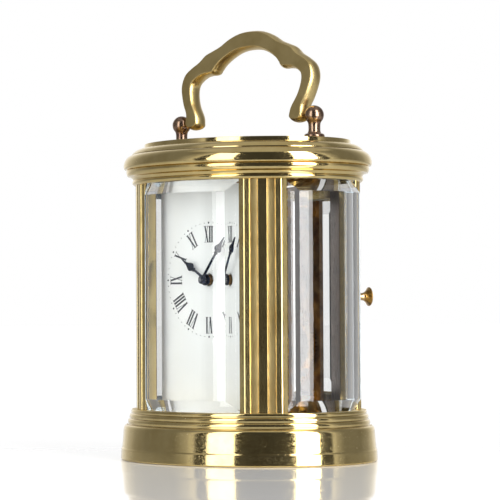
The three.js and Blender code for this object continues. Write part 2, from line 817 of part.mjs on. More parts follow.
function handle() {
  const shape = new THREE.Shape([
    ...handleEdge(HANDLE_OUTSIDE),
    ...footEnd(-1),
    ...handleEdge(HANDLE_INSIDE).reverse(),
    ...footEnd(1),
  ]);
  const body = new THREE.ExtrudeGeometry(shape, {
    depth: HANDLE_FLAT,
    bevelSize: HANDLE_SWELL,
    bevelThickness: (HANDLE_DEPTH - HANDLE_FLAT) / 2,
    bevelSegments: 2,
  });
  body.rotateX(Math.PI / 2).translate(0, HANDLE_FLAT / 2, 0);
  const holes = [-1, 1].map((side) =>
    sideBar(side, HANDLE_PIN_RADIUS + GAP, HANDLE_PIN[0] - GAP, HANDLE_PIN[1]));
  return cut(body, ...holes);
}

// A bar along X on the left or the right of the clock.
function sideBar(side, radius, inner, outer) {
  return side > 0 ? bar("x", radius, inner, outer) : bar("x", radius, -outer, -inner);
}

function handlePost(side) {
  const ball = [-50, -30, -10, 11, 32, 53, 75].map((degrees) => {
    const place = polar(POST_BALL, degrees * DEG);
    return [place.x, PIVOT_HEIGHT + place.y];
  });
  const profile = [
    [0, -3],
    [POST_SPIGOT, -3],
    [POST_SPIGOT, 0],
    [3.3, 0],
    [3.3, 1.2],
    [2.7, 1.5],
    [2, 1.9],
    ...ball,
    [0, PIVOT_HEIGHT + POST_BALL],
  ];
  const hole = sideBar(side, HANDLE_PIN_RADIUS + GAP, POST_X - 4, HANDLE_PIN[1] + GAP).translate(
    -side * POST_X, 0, PIVOT_HEIGHT);
  return cut(upright(turned(profile)), hole).translate(side * POST_X, 0, CORNICE_TOP);
}

function addHandle() {
  const bail = add("handle", handle(), polishedBrass);
  bail.position.z = PIVOT_Z;
  bail.rotation.x = -HANDLE_LEAN;
  for (const [side, name] of [[-1, "left"], [1, "right"]]) {
    add(`handle_post_${name}`, handlePost(side), bronze);
    const pin = sideBar(side, HANDLE_PIN_RADIUS, ...HANDLE_PIN).translate(0, 0, PIVOT_Z);
    add(`handle_pin_${name}`, pin, steel);
  }
}

// Movement frame

function plate(arborHoles) {
  const shape = rectangle([-PLATE_HALF_WIDTH, PLATE_HALF_WIDTH], [BASE_TOP, PLATE_TOP]);
  for (const place of PLATE_PILLARS) roundHole(shape, place, PLATE_STUD + GAP);
  for (const place of [INTERMEDIATE_AT, THIRD_AT, CONTRATE_AT]) roundHole(shape, place, PIVOT_RADIUS + GAP);
  for (const [place, radius] of arborHoles) roundHole(shape, place, radius);
  return shape;
}

function frontPlate() {
  const shape = plate([[BARREL_AT, 1 + GAP], [CENTRE_AT, CENTRE_ARBOR + GAP]]);
  for (const place of DIAL_FEET) roundHole(shape, place, DIAL_FOOT + GAP);
  const stud = bar("y", MINUTE_STUD, -15.5, FRONT_PLATE[1], 8).translate(MINUTE_AT[0], 0, MINUTE_AT[1]);
  return join(deepened(shape, ...FRONT_PLATE, 4), stud);
}

function backPlate() {
  const shape = plate([[BARREL_AT, BARREL_REAR + GAP], [CENTRE_AT, CENTRE_ARBOR + GAP]]);
  const stud = bar("y", CLICK_STUD, BACK_PLATE[0], 17, 8).translate(...clickPivot());
  return join(deepened(shape, ...BACK_PLATE, 4), stud);
}

function platePillar([x, z], screwPlace) {
  const profile = [
    [0, FRONT_PLATE[0] + GAP],
    [PLATE_STUD, FRONT_PLATE[0] + GAP],
    [PLATE_STUD, FRONT_PLATE[1]],
    [2.2, FRONT_PLATE[1]],
    [2.2, BACK_PLATE[0]],
    [PLATE_STUD, BACK_PLATE[0]],
    [PLATE_STUD, BACK_PLATE[1] - GAP],
    [0, BACK_PLATE[1] - GAP],
  ];
  const body = turned(profile, 8).translate(x, 0, z);
  if (!screwPlace) return body;
  return cut(body, uprightBar(screwPlace, SCREW_RADIUS + GAP, z - 4, MOVEMENT_SCREW_TOP + GAP));
}

function addFrame() {
  const [leftScrew, rightScrew] = movementScrewPlaces();
  const [lowerLeft, lowerRight, upperLeft, upperRight] = PLATE_PILLARS;
  add("front_plate", frontPlate(), satinBrass);
  add("back_plate", backPlate(), satinBrass);
  add("plate_pillar_lower_left", platePillar(lowerLeft, leftScrew), satinBrass);
  add("plate_pillar_lower_right", platePillar(lowerRight, rightScrew), satinBrass);
  add("plate_pillar_upper_left", platePillar(upperLeft), satinBrass);
  add("plate_pillar_upper_right", platePillar(upperRight), satinBrass);
  add("movement_screw_left", floorScrew(leftScrew, MOVEMENT_SCREW_TOP), steel);
  add("movement_screw_right", floorScrew(rightScrew, MOVEMENT_SCREW_TOP), steel);
}

// Dial and hands

function dial() {
  const shape = rectangle([-DIAL_HALF_WIDTH, DIAL_HALF_WIDTH], [DIAL_BOTTOM, DIAL_TOP]);
  roundHole(shape, CENTRE_AT, 2.1);
  const feet = DIAL_FEET.map(([x, z]) => bar("y", DIAL_FOOT, DIAL_FRONT + 0.5, -9.8, 8).translate(x, 0, z));
  return join(deepened(shape, DIAL_FRONT, DIAL_BACK, 8), ...feet);
}

// A spade hand that points up: the leaf is widest at a given distance from the centre.
function hand(length, leafAt, boss, bore, front) {
  const stem = 0.42;
  const bossAngle = Math.acos(stem / boss);
  const right = [
    polar(boss, bossAngle),
    new THREE.Vector2(0.3, leafAt - 2),
    new THREE.Vector2(0.75, leafAt - 1.6),
    new THREE.Vector2(0.3, leafAt - 1.1),
    new THREE.Vector2(1.4, leafAt - 0.2),
    new THREE.Vector2(1.3, leafAt + 0.6),
    new THREE.Vector2(0.45, leafAt + 2.2),
    new THREE.Vector2(0.12, length),
  ];
  const left = right.map(({ x, y }) => new THREE.Vector2(-x, y)).reverse();
  const shape = new THREE.Shape([...right, ...left]);
  shape.absarc(0, 0, boss, Math.PI - bossAngle, 2 * Math.PI + bossAngle, false);
  roundHole(shape, [0, 0], bore);
  return deepened(shape, front, front + 0.6, 8);
}

function cannonPinion() {
  const leaves = pinionLeaves(CANNON, 0, -13.3, -12);
  return cut(join(bar("y", CANNON_PIPE, -20.1, -12.1), leaves), bar("y", CENTRE_ARBOR + GAP, -21, -11));
}

function minuteWheel() {
  const toothAngle = meshAngle(CANNON, 0, MINUTE_ANGLE, MINUTE);
  const wheel = deepened(toothedShape(MINUTE, toothAngle), -13.2, -12.2);
  const leaves = pinionLeaves(MINUTE_PINION, 0, -15, -12.8);
  return cut(join(wheel, leaves), bar("y", MINUTE_STUD + GAP, -16, -11, 8));
}

function hourWheel() {
  const toothAngle = meshAngle(MINUTE_PINION, 0, MINUTE_ANGLE + Math.PI, HOUR);
  const wheel = deepened(toothedShape(HOUR, toothAngle), -14.8, -14);
  return cut(join(wheel, bar("y", HOUR_PIPE, -18.6, -14.2)), bar("y", CANNON_PIPE + GAP, -20, -13));
}

function centreArbor() {
  const square = block([-0.9, 0.9], [16.5, 22.5], [-0.9, 0.9]);
  return join(bar("y", CENTRE_ARBOR, -21.5, 17, 8), square);
}

function onArbor(mesh, [x, z]) {
  mesh.position.set(x, 0, z);
  return mesh;
}

function addHands() {
  add("dial", dial(), enamel);
  const hourHand = add("hour_hand", hand(12.4, 7.8, 1.9, CANNON_PIPE + GAP, -19.4), bluedSteel);
  const minuteHand = add("minute_hand", hand(16.8, 12.2, 1.4, CENTRE_ARBOR + GAP, -20.9), bluedSteel);
  onArbor(hourHand, CENTRE_AT).rotation.y = HOUR_HAND_TURN;
  onArbor(minuteHand, CENTRE_AT).rotation.y = MINUTE_HAND_TURN;
  onArbor(add("cannon_pinion", cannonPinion(), steel), CENTRE_AT);
  onArbor(add("minute_wheel", minuteWheel(), satinBrass), MINUTE_AT);
  onArbor(add("hour_wheel", hourWheel(), satinBrass), CENTRE_AT);
  onArbor(add("centre_arbor", centreArbor(), steel), CENTRE_AT);
}

// Going train

function barrel() {
  const drum = turned([
    [2.4, -4.8],
    [14, -4.8],
    [14, 11.5],
    [2.4, 11.5],
    [2.4, 10.5],
    [13, 10.5],
    [13, -3.8],
    [2.4, -3.8],
    [2.4, -4.8],
  ], 24);
  const teeth = toothedShape(GREAT, 0, GREAT_TIP_SHARE);
  roundHole(teeth, [0, 0], 13.4);
  return join(drum, deepened(teeth, 10.2, 11.8, 12));
}

function barrelArbor() {
  const body = turned([
    [0, FRONT_PLATE[0] + GAP],
    [1, FRONT_PLATE[0] + GAP],
    [1, FRONT_PLATE[1] + GAP],
    [2, FRONT_PLATE[1] + GAP],
    [2, BACK_PLATE[0] - GAP],
    [BARREL_REAR, BACK_PLATE[0] - GAP],
    [BARREL_REAR, 17],
    [0, 17],
  ]);
  return join(body, block([-1.1, 1.1], [16.5, 23.2], [-1.1, 1.1]));
}

function ratchetWheel() {
  const outline = [];
  for (let i = 0; i < RATCHET_TEETH; i++) {
    const tip = CLICK_TOOTH + (i * 2 * Math.PI) / RATCHET_TEETH;
    outline.push(polar(5.2, tip - 1 * DEG));
    outline.push(polar(6, tip));
  }
  const shape = new THREE.Shape(outline);
  roundHole(shape, [0, 0], BARREL_REAR + GAP);
  return deepened(shape, ...RATCHET_LAYER);
}

function clickPivot() {
  return [BARREL_AT[0] + CLICK_PIVOT[0], 0, BARREL_AT[1] + CLICK_PIVOT[1]];
}

// The click's nose rests in front of one ratchet tooth.
function click() {
  const [x, z] = CLICK_PIVOT;
  const shape = new THREE.Shape([
    polar(5.5, CLICK_TOOTH - 2.2 * DEG),
    polar(6.5, CLICK_TOOTH - 1.6 * DEG),
    new THREE.Vector2(x - 1.1, z + 0.8),
    new THREE.Vector2(x + 1.1, z - 0.8),
    polar(6.45, CLICK_TOOTH - 16 * DEG),
  ]);
  const eye = bar("y", 1.6, ...RATCHET_LAYER).translate(x, 0, z);
  const hole = bar("y", CLICK_STUD + GAP, 14, 18, 8).translate(x, 0, z);
  return cut(join(deepened(shape, ...RATCHET_LAYER), eye), hole);
}

// A leaf that bears on the outer edge of the click.
function clickSpring() {
  const foot = new THREE.Vector2(-8.6, 13.6);
  const nose = new THREE.Vector2(-4.1, 7.6);
  const curve = new THREE.QuadraticBezierCurve(foot, new THREE.Vector2(-7.4, 8.4), nose);
  const steps = [0, 1, 2, 3, 4, 5, 6].map((i) => i / 6);
  const edge = (side) => steps.map((share) => {
    const along = curve.getTangent(share);
    return curve.getPoint(share).add(new THREE.Vector2(-along.y, along.x).multiplyScalar(side * 0.2));
  });
  const leaf = deepened(new THREE.Shape([...edge(1), ...edge(-1).reverse()]), BACK_PLATE[1] + GAP, 16.3);
  return join(leaf, bar("y", 1.3, BACK_PLATE[1], 16.8).translate(foot.x, 0, foot.y));
}

function mainspring() {
  const strip = coiledStrip([3.2, 12.3], 6, 0.5, [-10, 3.4], "mainspring");
  return strip.rotateX(Math.PI / 2);
}

function centreWheel() {
  const leaves = pinionLeaves(CENTRE_PINION,
    meshAngle(INTERMEDIATE, 0, bearing(INTERMEDIATE_AT, CENTRE_AT), CENTRE_PINION), -9.1, -7.5);
  const pipe = bar("y", 1.18, -9.2, -5.4);
  const wheel = trainWheel(CENTRE, 0, 0.5, -6.9, -6);
  return cut(join(wheel, pipe, leaves), bar("y", CENTRE_ARBOR + GAP, -10, -5));
}

function pinionArbor(radius, pinion, toothAngle, front, back) {
  return join(arbor(radius), pinionLeaves(pinion, toothAngle, front, back));
}

// Angles of the crown's tips and gaps by turns, with a gap at the top for the escape pinion's leaf.
function crownAngles() {
  const steps = 2 * CONTRATE.teeth;
  return Array.from({ length: steps }, (_, i) => 90 * DEG + ((i + 1) / steps) * 2 * Math.PI);
}

// A ring of pointed teeth that stand out to the back.
function crownTeeth() {
  const rings = crownAngles().map((angle, i) => {
    const edge = i % 2 === 0 ? CROWN_TIP : CROWN_ROOT;
    const [outer, inner] = [polar(CROWN_RADIUS + 0.5, angle), polar(CROWN_RADIUS - 0.5, angle)];
    return [
      new THREE.Vector3(outer.x, CROWN_DISC[1] - GAP, outer.y),
      new THREE.Vector3(outer.x, edge, outer.y),
      new THREE.Vector3(inner.x, edge, inner.y),
      new THREE.Vector3(inner.x, CROWN_DISC[1] - GAP, inner.y),
    ];
  });
  return turnOutward(skinOf(rings, true));
}

function contrateWheel() {
  const shape = new THREE.Shape(crownAngles().map((angle) => polar(CROWN_RADIUS + 0.5, angle)));
  crossings(shape, 4, 2, CROWN_RADIUS - 0.9, 1.1);
  roundHole(shape, [0, 0], SMALL_ARBOR + GAP);
  return join(deepened(shape, ...CROWN_DISC, 4), crownTeeth());
}

function addTrain() {
  const intermediateAngle = meshAngle(GREAT, 0, bearing(BARREL_AT, INTERMEDIATE_AT), INTERMEDIATE_PINION);
  const thirdAngle = meshAngle(CENTRE, 0, bearing(CENTRE_AT, THIRD_AT), THIRD_PINION);
  const contrateAngle = meshAngle(THIRD, 0, bearing(THIRD_AT, CONTRATE_AT), CONTRATE_PINION);
  onArbor(add("barrel", barrel(), satinBrass), BARREL_AT);
  onArbor(add("barrel_arbor", barrelArbor(), steel), BARREL_AT);
  onArbor(add("mainspring", mainspring(), bluedSteel), BARREL_AT);
  onArbor(add("ratchet_wheel", ratchetWheel(), steel), BARREL_AT);
  onArbor(add("click", click(), steel), BARREL_AT);
  onArbor(add("click_spring", clickSpring(), bluedSteel), BARREL_AT);
  const intermediateWheel = trainWheel(INTERMEDIATE, 0, 1.1, -8.9, -8);
  const intermediateArbor = pinionArbor(0.8, INTERMEDIATE_PINION, intermediateAngle, 9.8, 12.3);
  onArbor(add("intermediate_wheel", intermediateWheel, satinBrass), INTERMEDIATE_AT);
  onArbor(add("intermediate_arbor", intermediateArbor, steel), INTERMEDIATE_AT);
  onArbor(add("centre_wheel", centreWheel(), satinBrass), CENTRE_AT);
  const thirdWheel = trainWheel(THIRD, 0, SMALL_ARBOR + GAP, 0.6, 1.4);
  const thirdArbor = pinionArbor(SMALL_ARBOR, THIRD_PINION, thirdAngle, -7.4, -5.5);
  onArbor(add("third_wheel", thirdWheel, satinBrass), THIRD_AT);
  onArbor(add("third_arbor", thirdArbor, steel), THIRD_AT);
  onArbor(add("contrate_wheel", contrateWheel(), satinBrass), CONTRATE_AT);
  onArbor(add("contrate_arbor", pinionArbor(SMALL_ARBOR, CONTRATE_PINION, contrateAngle, 0, 2), steel),
    CONTRATE_AT);
}

// Platform with the escapement

function leverPivot() {
  const direction = bearing(ESCAPE_AT, BALANCE_AT);
  return polar(LEVER_REACH, direction).add(new THREE.Vector2(...ESCAPE_AT));
}

function platform() {
  const shape = rectangle([-14, 14], [FRONT_PLATE[0], BACK_PLATE[1]]);
  roundHole(shape, ESCAPE_AT, 1.2);
  return raised(shape, PLATE_TOP, PLATFORM_TOP);
}

function escapeWheel() {
  const pitch = (2 * Math.PI) / ESCAPE_TEETH;
  const outline = [];
  for (let i = 0; i < ESCAPE_TEETH; i++) {
    const tip = bearing(ESCAPE_AT, BALANCE_AT) + i * pitch;
    outline.push(polar(ESCAPE_RADIUS, tip - 1 * DEG));
    outline.push(polar(ESCAPE_RADIUS, tip + 1 * DEG));
    outline.push(polar(0.72 * ESCAPE_RADIUS, tip + pitch / 2));
  }
  const shape = crossings(new THREE.Shape(outline), 3, 1, 2, 0.5);
  roundHole(shape, [0, 0], ESCAPE_ARBOR + GAP);
  return raised(shape, ...ESCAPE_LAYER, 4);
}

function escapeArbor() {
  const leafTowardCrown = -90 * DEG;
  const leaves = raised(toothedShape(ESCAPE_PINION, leafTowardCrown), ...ESCAPE_LEAVES);
  return join(bar("z", ESCAPE_ARBOR, ESCAPE_ARBOR_BOTTOM, LEVER_STAFF_TOP, 8), leaves);
}

// The lever is drawn with its fork toward +X, then turned toward the balance.
function lever() {
  const layer = ESCAPE_LAYER;
  const pallet = (side) => {
    const tip = polar(ESCAPE_RADIUS + 0.1, side * 30 * DEG);
    const stone = block([0, 2], [-0.2, 0.2], layer).rotateZ(side * 30 * DEG);
    return stone.translate(tip.x - LEVER_REACH, tip.y, 0);
  };
  const body = join(
    bar("z", 0.8, ...layer),
    bar("z", 0.3, PLATFORM_TOP + GAP, LEVER_STAFF_TOP, 8),
    block([0, 7], [-0.35, 0.35], layer),
    block([-0.5, 0.3], [-2.9, 2.9], layer),
    block([6.6, 7.2], [-0.95, 0.95], layer),
    block([7, 8.1], [0.5, 0.95], layer),
    block([7, 8.1], [-0.95, -0.5], layer),
    pallet(1),
    pallet(-1),
  );
  const pivot = leverPivot();
  return body.rotateZ(bearing(ESCAPE_AT, BALANCE_AT)).translate(pivot.x, pivot.y, 0);
}

function balanceWheel() {
  const shape = new THREE.Shape().absarc(0, 0, BALANCE_RADIUS, 0, 2 * Math.PI, false);
  crossings(shape, 3, 1.3, BALANCE_RADIUS - 0.9, 0.9);
  return join(raised(shape, ...BALANCE_LAYER, 10), bar("z", 0.4, PLATFORM_TOP + GAP, BALANCE_STAFF_TOP, 8));
}

// An arm between two places seen from above.
function flatArm(from, to, width, [low, high]) {
  const length = Math.hypot(to[0] - from[0], to[1] - from[1]);
  return block([0, length], [-width / 2, width / 2], [low, high])
    .rotateZ(bearing(from, to))
    .translate(from[0], from[1], 0);
}

function balanceCock() {
  const foot = [-11, 9.5];
  return join(
    block([-13, -9], [7.5, 11.5], [PLATFORM_TOP, COCK_LAYER[1]]),
    flatArm(foot, BALANCE_AT, 3, COCK_LAYER),
    uprightBar(new THREE.Vector2(...BALANCE_AT), 1.9, ...COCK_LAYER),
  );
}

function escapeBridge() {
  const foot = [11.5, 1.7];
  const pivot = leverPivot();
  return join(
    block([10, 13], [0, 3.5], [PLATFORM_TOP, BRIDGE_LAYER[1]]),
    flatArm(foot, ESCAPE_AT, 1.6, BRIDGE_LAYER),
    flatArm(foot, [pivot.x, pivot.y], 1.6, BRIDGE_LAYER),
    uprightBar(new THREE.Vector2(...ESCAPE_AT), 1.1, ...BRIDGE_LAYER),
    uprightBar(pivot, 1.1, ...BRIDGE_LAYER),
  );
}

function addPlatform() {
  const over = ([x, y]) => [x, y, 0];
  add("platform", platform(), satinBrass);
  add("escape_wheel", escapeWheel().translate(...over(ESCAPE_AT)), satinBrass);
  add("escape_arbor", escapeArbor().translate(...over(ESCAPE_AT)), steel);
  add("escape_bridge", escapeBridge(), satinBrass);
  add("lever", lever(), steel);
  add("balance_wheel", balanceWheel().translate(...over(BALANCE_AT)), satinBrass);
  add("balance_cock", balanceCock(), satinBrass);
  const spring = coiledStrip([1.4, 3.9], 4, 0.18, HAIRSPRING_LAYER, "hairspring");
  add("hairspring", spring.translate(...over(BALANCE_AT)), bluedSteel);
}

addCase();
addDoor();
addHandle();
addFrame();
addHands();
addTrain();
addPlatform();

export default clock;
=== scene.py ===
"""Looks of the oval carriage clock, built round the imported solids.

Shapes are written in millimetres and made in metres, in the solids' own frame: +Z is up, the dial
faces -Y, and the origin is the middle of the underside of the base.
"""

import json
import math
from collections import namedtuple

import bmesh
import bpy
from mathutils import Matrix, Quaternion, Vector


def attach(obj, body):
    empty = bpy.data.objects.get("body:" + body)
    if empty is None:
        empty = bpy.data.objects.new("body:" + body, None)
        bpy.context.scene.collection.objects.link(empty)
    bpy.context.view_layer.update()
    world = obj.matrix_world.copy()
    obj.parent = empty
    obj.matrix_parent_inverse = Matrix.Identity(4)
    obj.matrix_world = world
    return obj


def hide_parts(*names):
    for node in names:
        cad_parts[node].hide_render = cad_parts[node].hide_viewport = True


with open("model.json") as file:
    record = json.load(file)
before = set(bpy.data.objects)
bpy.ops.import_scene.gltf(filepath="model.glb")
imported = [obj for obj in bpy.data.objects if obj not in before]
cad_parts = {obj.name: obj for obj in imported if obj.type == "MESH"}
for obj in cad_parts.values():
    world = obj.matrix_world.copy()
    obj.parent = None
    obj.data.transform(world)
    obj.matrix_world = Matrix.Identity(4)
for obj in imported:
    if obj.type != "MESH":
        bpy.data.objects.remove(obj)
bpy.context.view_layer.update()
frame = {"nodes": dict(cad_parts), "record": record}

MM = 0.001

# Outlines
LEAST = 1e-6  # a shorter length counts as none
EDGE_SHARE = 0.45  # the most of an edge that a rounded corner takes
GENTLE_BEND = 0.2  # turn in radians below which a corner stays as it is
INNER_CORNER = 0.3  # turn in radians that makes a full inner corner

# The oval that the pillar faces follow
OVAL_X = 41
OVAL_Y = 32.8
OVAL_STEPS = 180

# Case
BASE_FLOOR = 12.3
BASE_TOP = 16.8
CORNICE_BOTTOM = 91.6
CORNICE_TOP = 105.4
TOP_GLASS_LEDGE = 103
PILLAR_ANGLE = math.radians(45.4)
PILLAR_CURVE = 38
CHANNEL = (1.75, 3.95)  # satin channel of a pillar, as distances from the middle of its face
PILLAR_INSIDE = -6.3  # depth below which a pillar is tarnished and painted dark as shade
PILLAR_GROOVE = (-4.45, -1.7)  # depths of the groove beside the glass, tarnished and painted dark as shade
ARRIS = 0.14  # rounding of the case's edges
LEVEL_TOP = 0.95  # upward share of a face's direction above which it is a level top

# Glass, as depths from the pillar face
GLASS_DEPTHS = (0.3, -2.25, -4.1)  # outer face, bevelled edge, inner face
GLASS_BEVEL = (4.8, 3.8)  # along the pillars, then at the top and bottom
GLASS_END = 7.3  # from the middle of a pillar to the end of a pane, along the oval
GLASS_CREASE = 8  # bend in degrees that stays sharp on a pane

# Back door, with ends along the oval from the middle of a pillar and depths from the pillar face
DOOR_END = 6.6
DOOR_HINGE_END = 8.2
DOOR_FACE = -0.3
DOOR_BACK = -3.3
DOOR_LIP = -1.3
DOOR_LIP_WIDTH = 1
DOOR_REBATE = 0.7  # how far the glass reaches behind the lip
DOOR_STILE = 5
DOOR_BOTTOM = 17.2
DOOR_TOP = 91.2
DOOR_PIN_DEPTH = -1.8
DOOR_KNUCKLE_RADIUS = 1.5
DOOR_KNUCKLE_STEPS = 32
DOOR_GLASS = (-0.9, -1.8, DOOR_BACK)
DOOR_BEVEL = (5, 5)
KNOB_HEIGHT = 54
KNOB_END = 9.3
KNOB_HEAD = 3.2
KNOB_ARRIS = 0.1

# Handle
POST_X = 30.4
POST_BALL = 3.15
PIVOT_Z = 113.0
HANDLE_LEAN = math.radians(7.5)
HANDLE_DEPTH = 5
HANDLE_SWELL = 0.75  # how far the rounded sides stand out from the front face
HANDLE_FOOT = 1.3  # how far the front face reaches below the pivot
HANDLE_EDGE = 0.2
HANDLE_STEPS = 8  # from one point of its edges to the next
SIDE_STEPS = 6  # from the front of a rounded side to its middle
FOOT_TURNS = (86, 74, 62, 50, 38, 26, 13)  # degrees round the end of a foot
POST_TURNS = range(-44, 90, 6)  # degrees up the ball of a post

# Outer and inner edge of half the handle's front face, from its foot to the crown, above the pivot
HANDLE_OUTSIDE = [
    (26.2, 0),
    (26.3, 3.2),
    (27.9, 6.6),
    (29.3, 11),
    (29.4, 14),
    (28.2, 16.9),
    (25.6, 18.9),
    (22.2, 20.8),
    (19.6, 22.9),
    (16.6, 24.1),
    (13.2, 25.4),
    (9, 27.7),
    (4.6, 29.2),
    (0, 29.6),
]
HANDLE_INSIDE = [
    (21.4, 0),
    (22, 2.7),
    (24.4, 7),
    (25.5, 11),
    (25.2, 13.8),
    (23.4, 15.6),
    (20.8, 16.8),
    (18, 17.2),
    (15.9, 17.3),
    (14.8, 18.6),
    (12.8, 20.6),
    (8.8, 23),
    (4.6, 24.4),
    (0, 24.8),
]

# Dial and hands
DIAL_FRONT = -17.5
DIAL_Z = 59.7
NUMERAL_RADIUS = 14.9
NUMERAL_HEIGHT = 5.4
DOT_RADIUS = 18.7
HOUR_DOT = 0.34
MINUTE_DOT = 0.17
DOT_STEPS = 12
MINUTES = 60
MINUTES_BETWEEN_HOURS = 5
INK_DEPTH = 0.03
HAND_STEM = 0.42
HAND_TIP = 0.1
HAND_BOSS_STEPS = 20
HAND_SECTION = ((0.12, 0), (0, 0.12), (0, 0.5), (0.1, 0.6))  # inset of a hand's edge at each depth
HAND_INSET_SHARE = 0.6  # the most of a hand's half width that an inset takes
HOUR_TURN = math.radians(303)
MINUTE_TURN = math.radians(36)

# Half a hand's neck, bead and leaf, with heights from the widest place of the leaf
HAND_NECK = (0.32, -2.1)
HAND_BEAD = [(0.32, -2), (1.2, -1.6), (0.32, -1.2)]
HAND_LEAF = [(0.3, -1.1), (1.05, -0.75), (1.42, -0.1), (1.2, 0.7), (0.66, 1.6), (0.36, 2.4)]

# Numerals, with the thick and thin strokes of each letter
THICK = 0.62
THIN = 0.18
SERIF = 0.16
OVERHANG = 0.24
LETTER_LEAN = 0.62  # half the spread of the slanted strokes
LETTER_WIDTH = {"I": 1, "V": 1.95, "X": 2.05}
NUMERALS = "XII I II III IIII V VI VII VIII IX X XI".split()

# Colours, each as its plain tone and the tone in its clouds
GOLD = ((0.82, 0.645, 0.3), (0.7, 0.53, 0.22))
SATIN_GOLD = ((0.8, 0.61, 0.27), (0.7, 0.5, 0.2))
HANDLE_GOLD = ((0.71, 0.55, 0.25), (0.6, 0.45, 0.185))
KNOB_GOLD = ((0.62, 0.44, 0.22), (0.42, 0.27, 0.14))
# Tarnish made darker still as painted shade, for the insides of the pillars and their grooves
TARNISH_AND_SHADE = ((0.11, 0.065, 0.04), (0.06, 0.035, 0.02))
# Brass of the movement, darkened as painted shade for the inside of the case
SHADE_DARKENED_BRASS = ((0.34, 0.2, 0.08), (0.18, 0.1, 0.04))
BRONZE = ((0.4, 0.27, 0.18), (0.2, 0.12, 0.09))
STEEL = ((0.58, 0.59, 0.6), (0.42, 0.42, 0.43))
BLUED_STEEL = ((0.03, 0.045, 0.085), (0.02, 0.025, 0.05))
CLEAR = ((1, 1, 1), (0.98, 0.99, 0.985))
GROUND = ((0.72, 0.87, 0.98), (0.66, 0.82, 0.92))
ENAMEL_WHITE = ((0.85, 0.88, 0.87), (0.81, 0.84, 0.83))
INK_BLACK = ((0.02, 0.026, 0.035), (0.07, 0.08, 0.1))
FLOOR_WHITE = ((0.84, 0.84, 0.84), (0.82, 0.82, 0.82))

# Patterns, as lumps for each metre, levels of detail, and the span of the noise in which they change
Pattern = namedtuple("Pattern", "scale detail start end")
BRASS_CLOUDS = Pattern(120, 4, 0.42, 0.7)
BRASS_MARKS = Pattern(2600, 3, 0.4, 0.75)
BRASS_CORNER_PATCHES = Pattern(260, 3, 0.35, 0.62)
BRASS_SPECKS = Pattern(2400, 3, 0.5, 0.7)
BRASS_WEAR = Pattern(70, 3, 0.42, 0.6)
METAL_CLOUDS = Pattern(240, 3, 0.4, 0.65)
METAL_MARKS = Pattern(1800, 3, 0.3, 0.7)
GLASS_TINT = Pattern(40, 2, 0, 1)
GLASS_SMEARS = Pattern(300, 3, 0.45, 0.75)
GROUND_TINT = Pattern(60, 2, 0, 1)
GROUND_GRAIN = Pattern(900, 3, 0.3, 0.7)
ENAMEL_CLOUDS = Pattern(60, 3, 0.35, 0.7)
ENAMEL_GLOSS = Pattern(500, 2, 0.3, 0.7)
INK_WEAR = Pattern(900, 3, 0.4, 0.75)
INK_GLOSS = Pattern(500, 2, 0.3, 0.7)
FLOOR_CLOUDS = Pattern(8, 2, 0, 1)
FLOOR_GLOSS = Pattern(200, 2, 0.3, 0.7)

# Fine marks, with their stretch as lumps along each axis
EVEN_GRAIN = (1, 1, 1)
COARSE_GRAIN = (0.3, 0.3, 0.3)
ROUND_GRAIN = (0.3, 0.3, 2.5)
UPRIGHT_GRAIN = (2.5, 2.5, 0.12)
MARK_DEPTH = 0.02
BRASS_RELIEF = 0.03  # strength of the marks' relief
METAL_RELIEF = 0.04

# Brown in inner corners
CORNER_BROWN = (0.16, 0.07, 0.02)
CORNER_BROWN_SPAN = (0.5, 1)  # how deep in a corner it starts and is full
CORNER_BROWN_LEAST = 0.25  # its share between the patches

# Clearness of glass
GLASS_IOR = 1.55
GROUND_CLEARNESS = 0.35  # share of the light that a ground edge lets through

# Camera, as seen in the photograph
CAMERA_AZIMUTH = math.radians(43.3)
CAMERA_DISTANCE = 800
CAMERA_HEIGHT = 50.3
CAMERA_SENSOR = 36
CAMERA_LENS = 172.8
CAMERA_AIM_HEIGHT = 69.7
CAMERA_AIM_ASIDE = 1
CAMERA_ROLL = math.radians(-0.32)

# Studio, in metres
SOFTBOXES = {  # degrees to the right of the camera, width, top, radiance
    "softbox_left": (-43.2, 0.46, 1.3, 3.1),
    "softbox_right": (35, 0.55, 1.8, 7.5),
}
SOFTBOX_DISTANCE = 1.2
SOFTBOX_BOTTOM = -0.25
FLOOR_REACH = 6
FLOOR_FRONT = 0.19  # where it ends toward the camera, just below the picture
FLOOR_LEVEL = -0.00002  # just below the base
FLOOR_IOR = 2.6
FLOOR_HAZE = 0.15  # brightness that the camera sees in it besides its reflections

# Surroundings, as places from behind the clock (0) to behind the camera (1) with their brightness
WORLD_LEVELS = (
    (0.03, 1),
    (0.1, 0.55),
    (0.18, 0.3),
    (0.3, 0.2),
    (0.56, 0.2),
    (0.655, 0.4),
    (0.675, 0.62),
    (0.7, 0.62),
    (0.715, 0.05),
)
CEILING_SPAN = (0.79, 0.85)  # upward share of the direction in which the ceiling takes over
CEILING_GREY = (0.48, 0.48, 0.48)
WHITE = (1, 1, 1)


# Outlines

def curve(start, control, end, steps=8):
    """Points of a quadratic curve, with both its ends."""
    start, control, end = Vector(start), Vector(control), Vector(end)
    shares = [i / steps for i in range(steps + 1)]
    return [start * (1 - t) ** 2 + control * (2 * t * (1 - t)) + end * t ** 2 for t in shares]


def soften(points, radius, closed=False, steps=4):
    """The outline with its corners rounded. Gentle bends are kept as they are."""
    points = [Vector(p) for p in points]
    rounded = []
    for i, corner in enumerate(points):
        before = points[i - 1] - corner
        after = points[(i + 1) % len(points)] - corner
        on_end = not closed and i in (0, len(points) - 1)
        short = min(before.length, after.length)
        if on_end or short < LEAST or math.pi - before.angle(after) < GENTLE_BEND:
            rounded.append(corner)
            continue
        reach = min(radius, EDGE_SHARE * short)
        start = corner + before.normalized() * reach
        end = corner + after.normalized() * reach
        rounded.extend(curve(start, corner, end, steps))
    return rounded


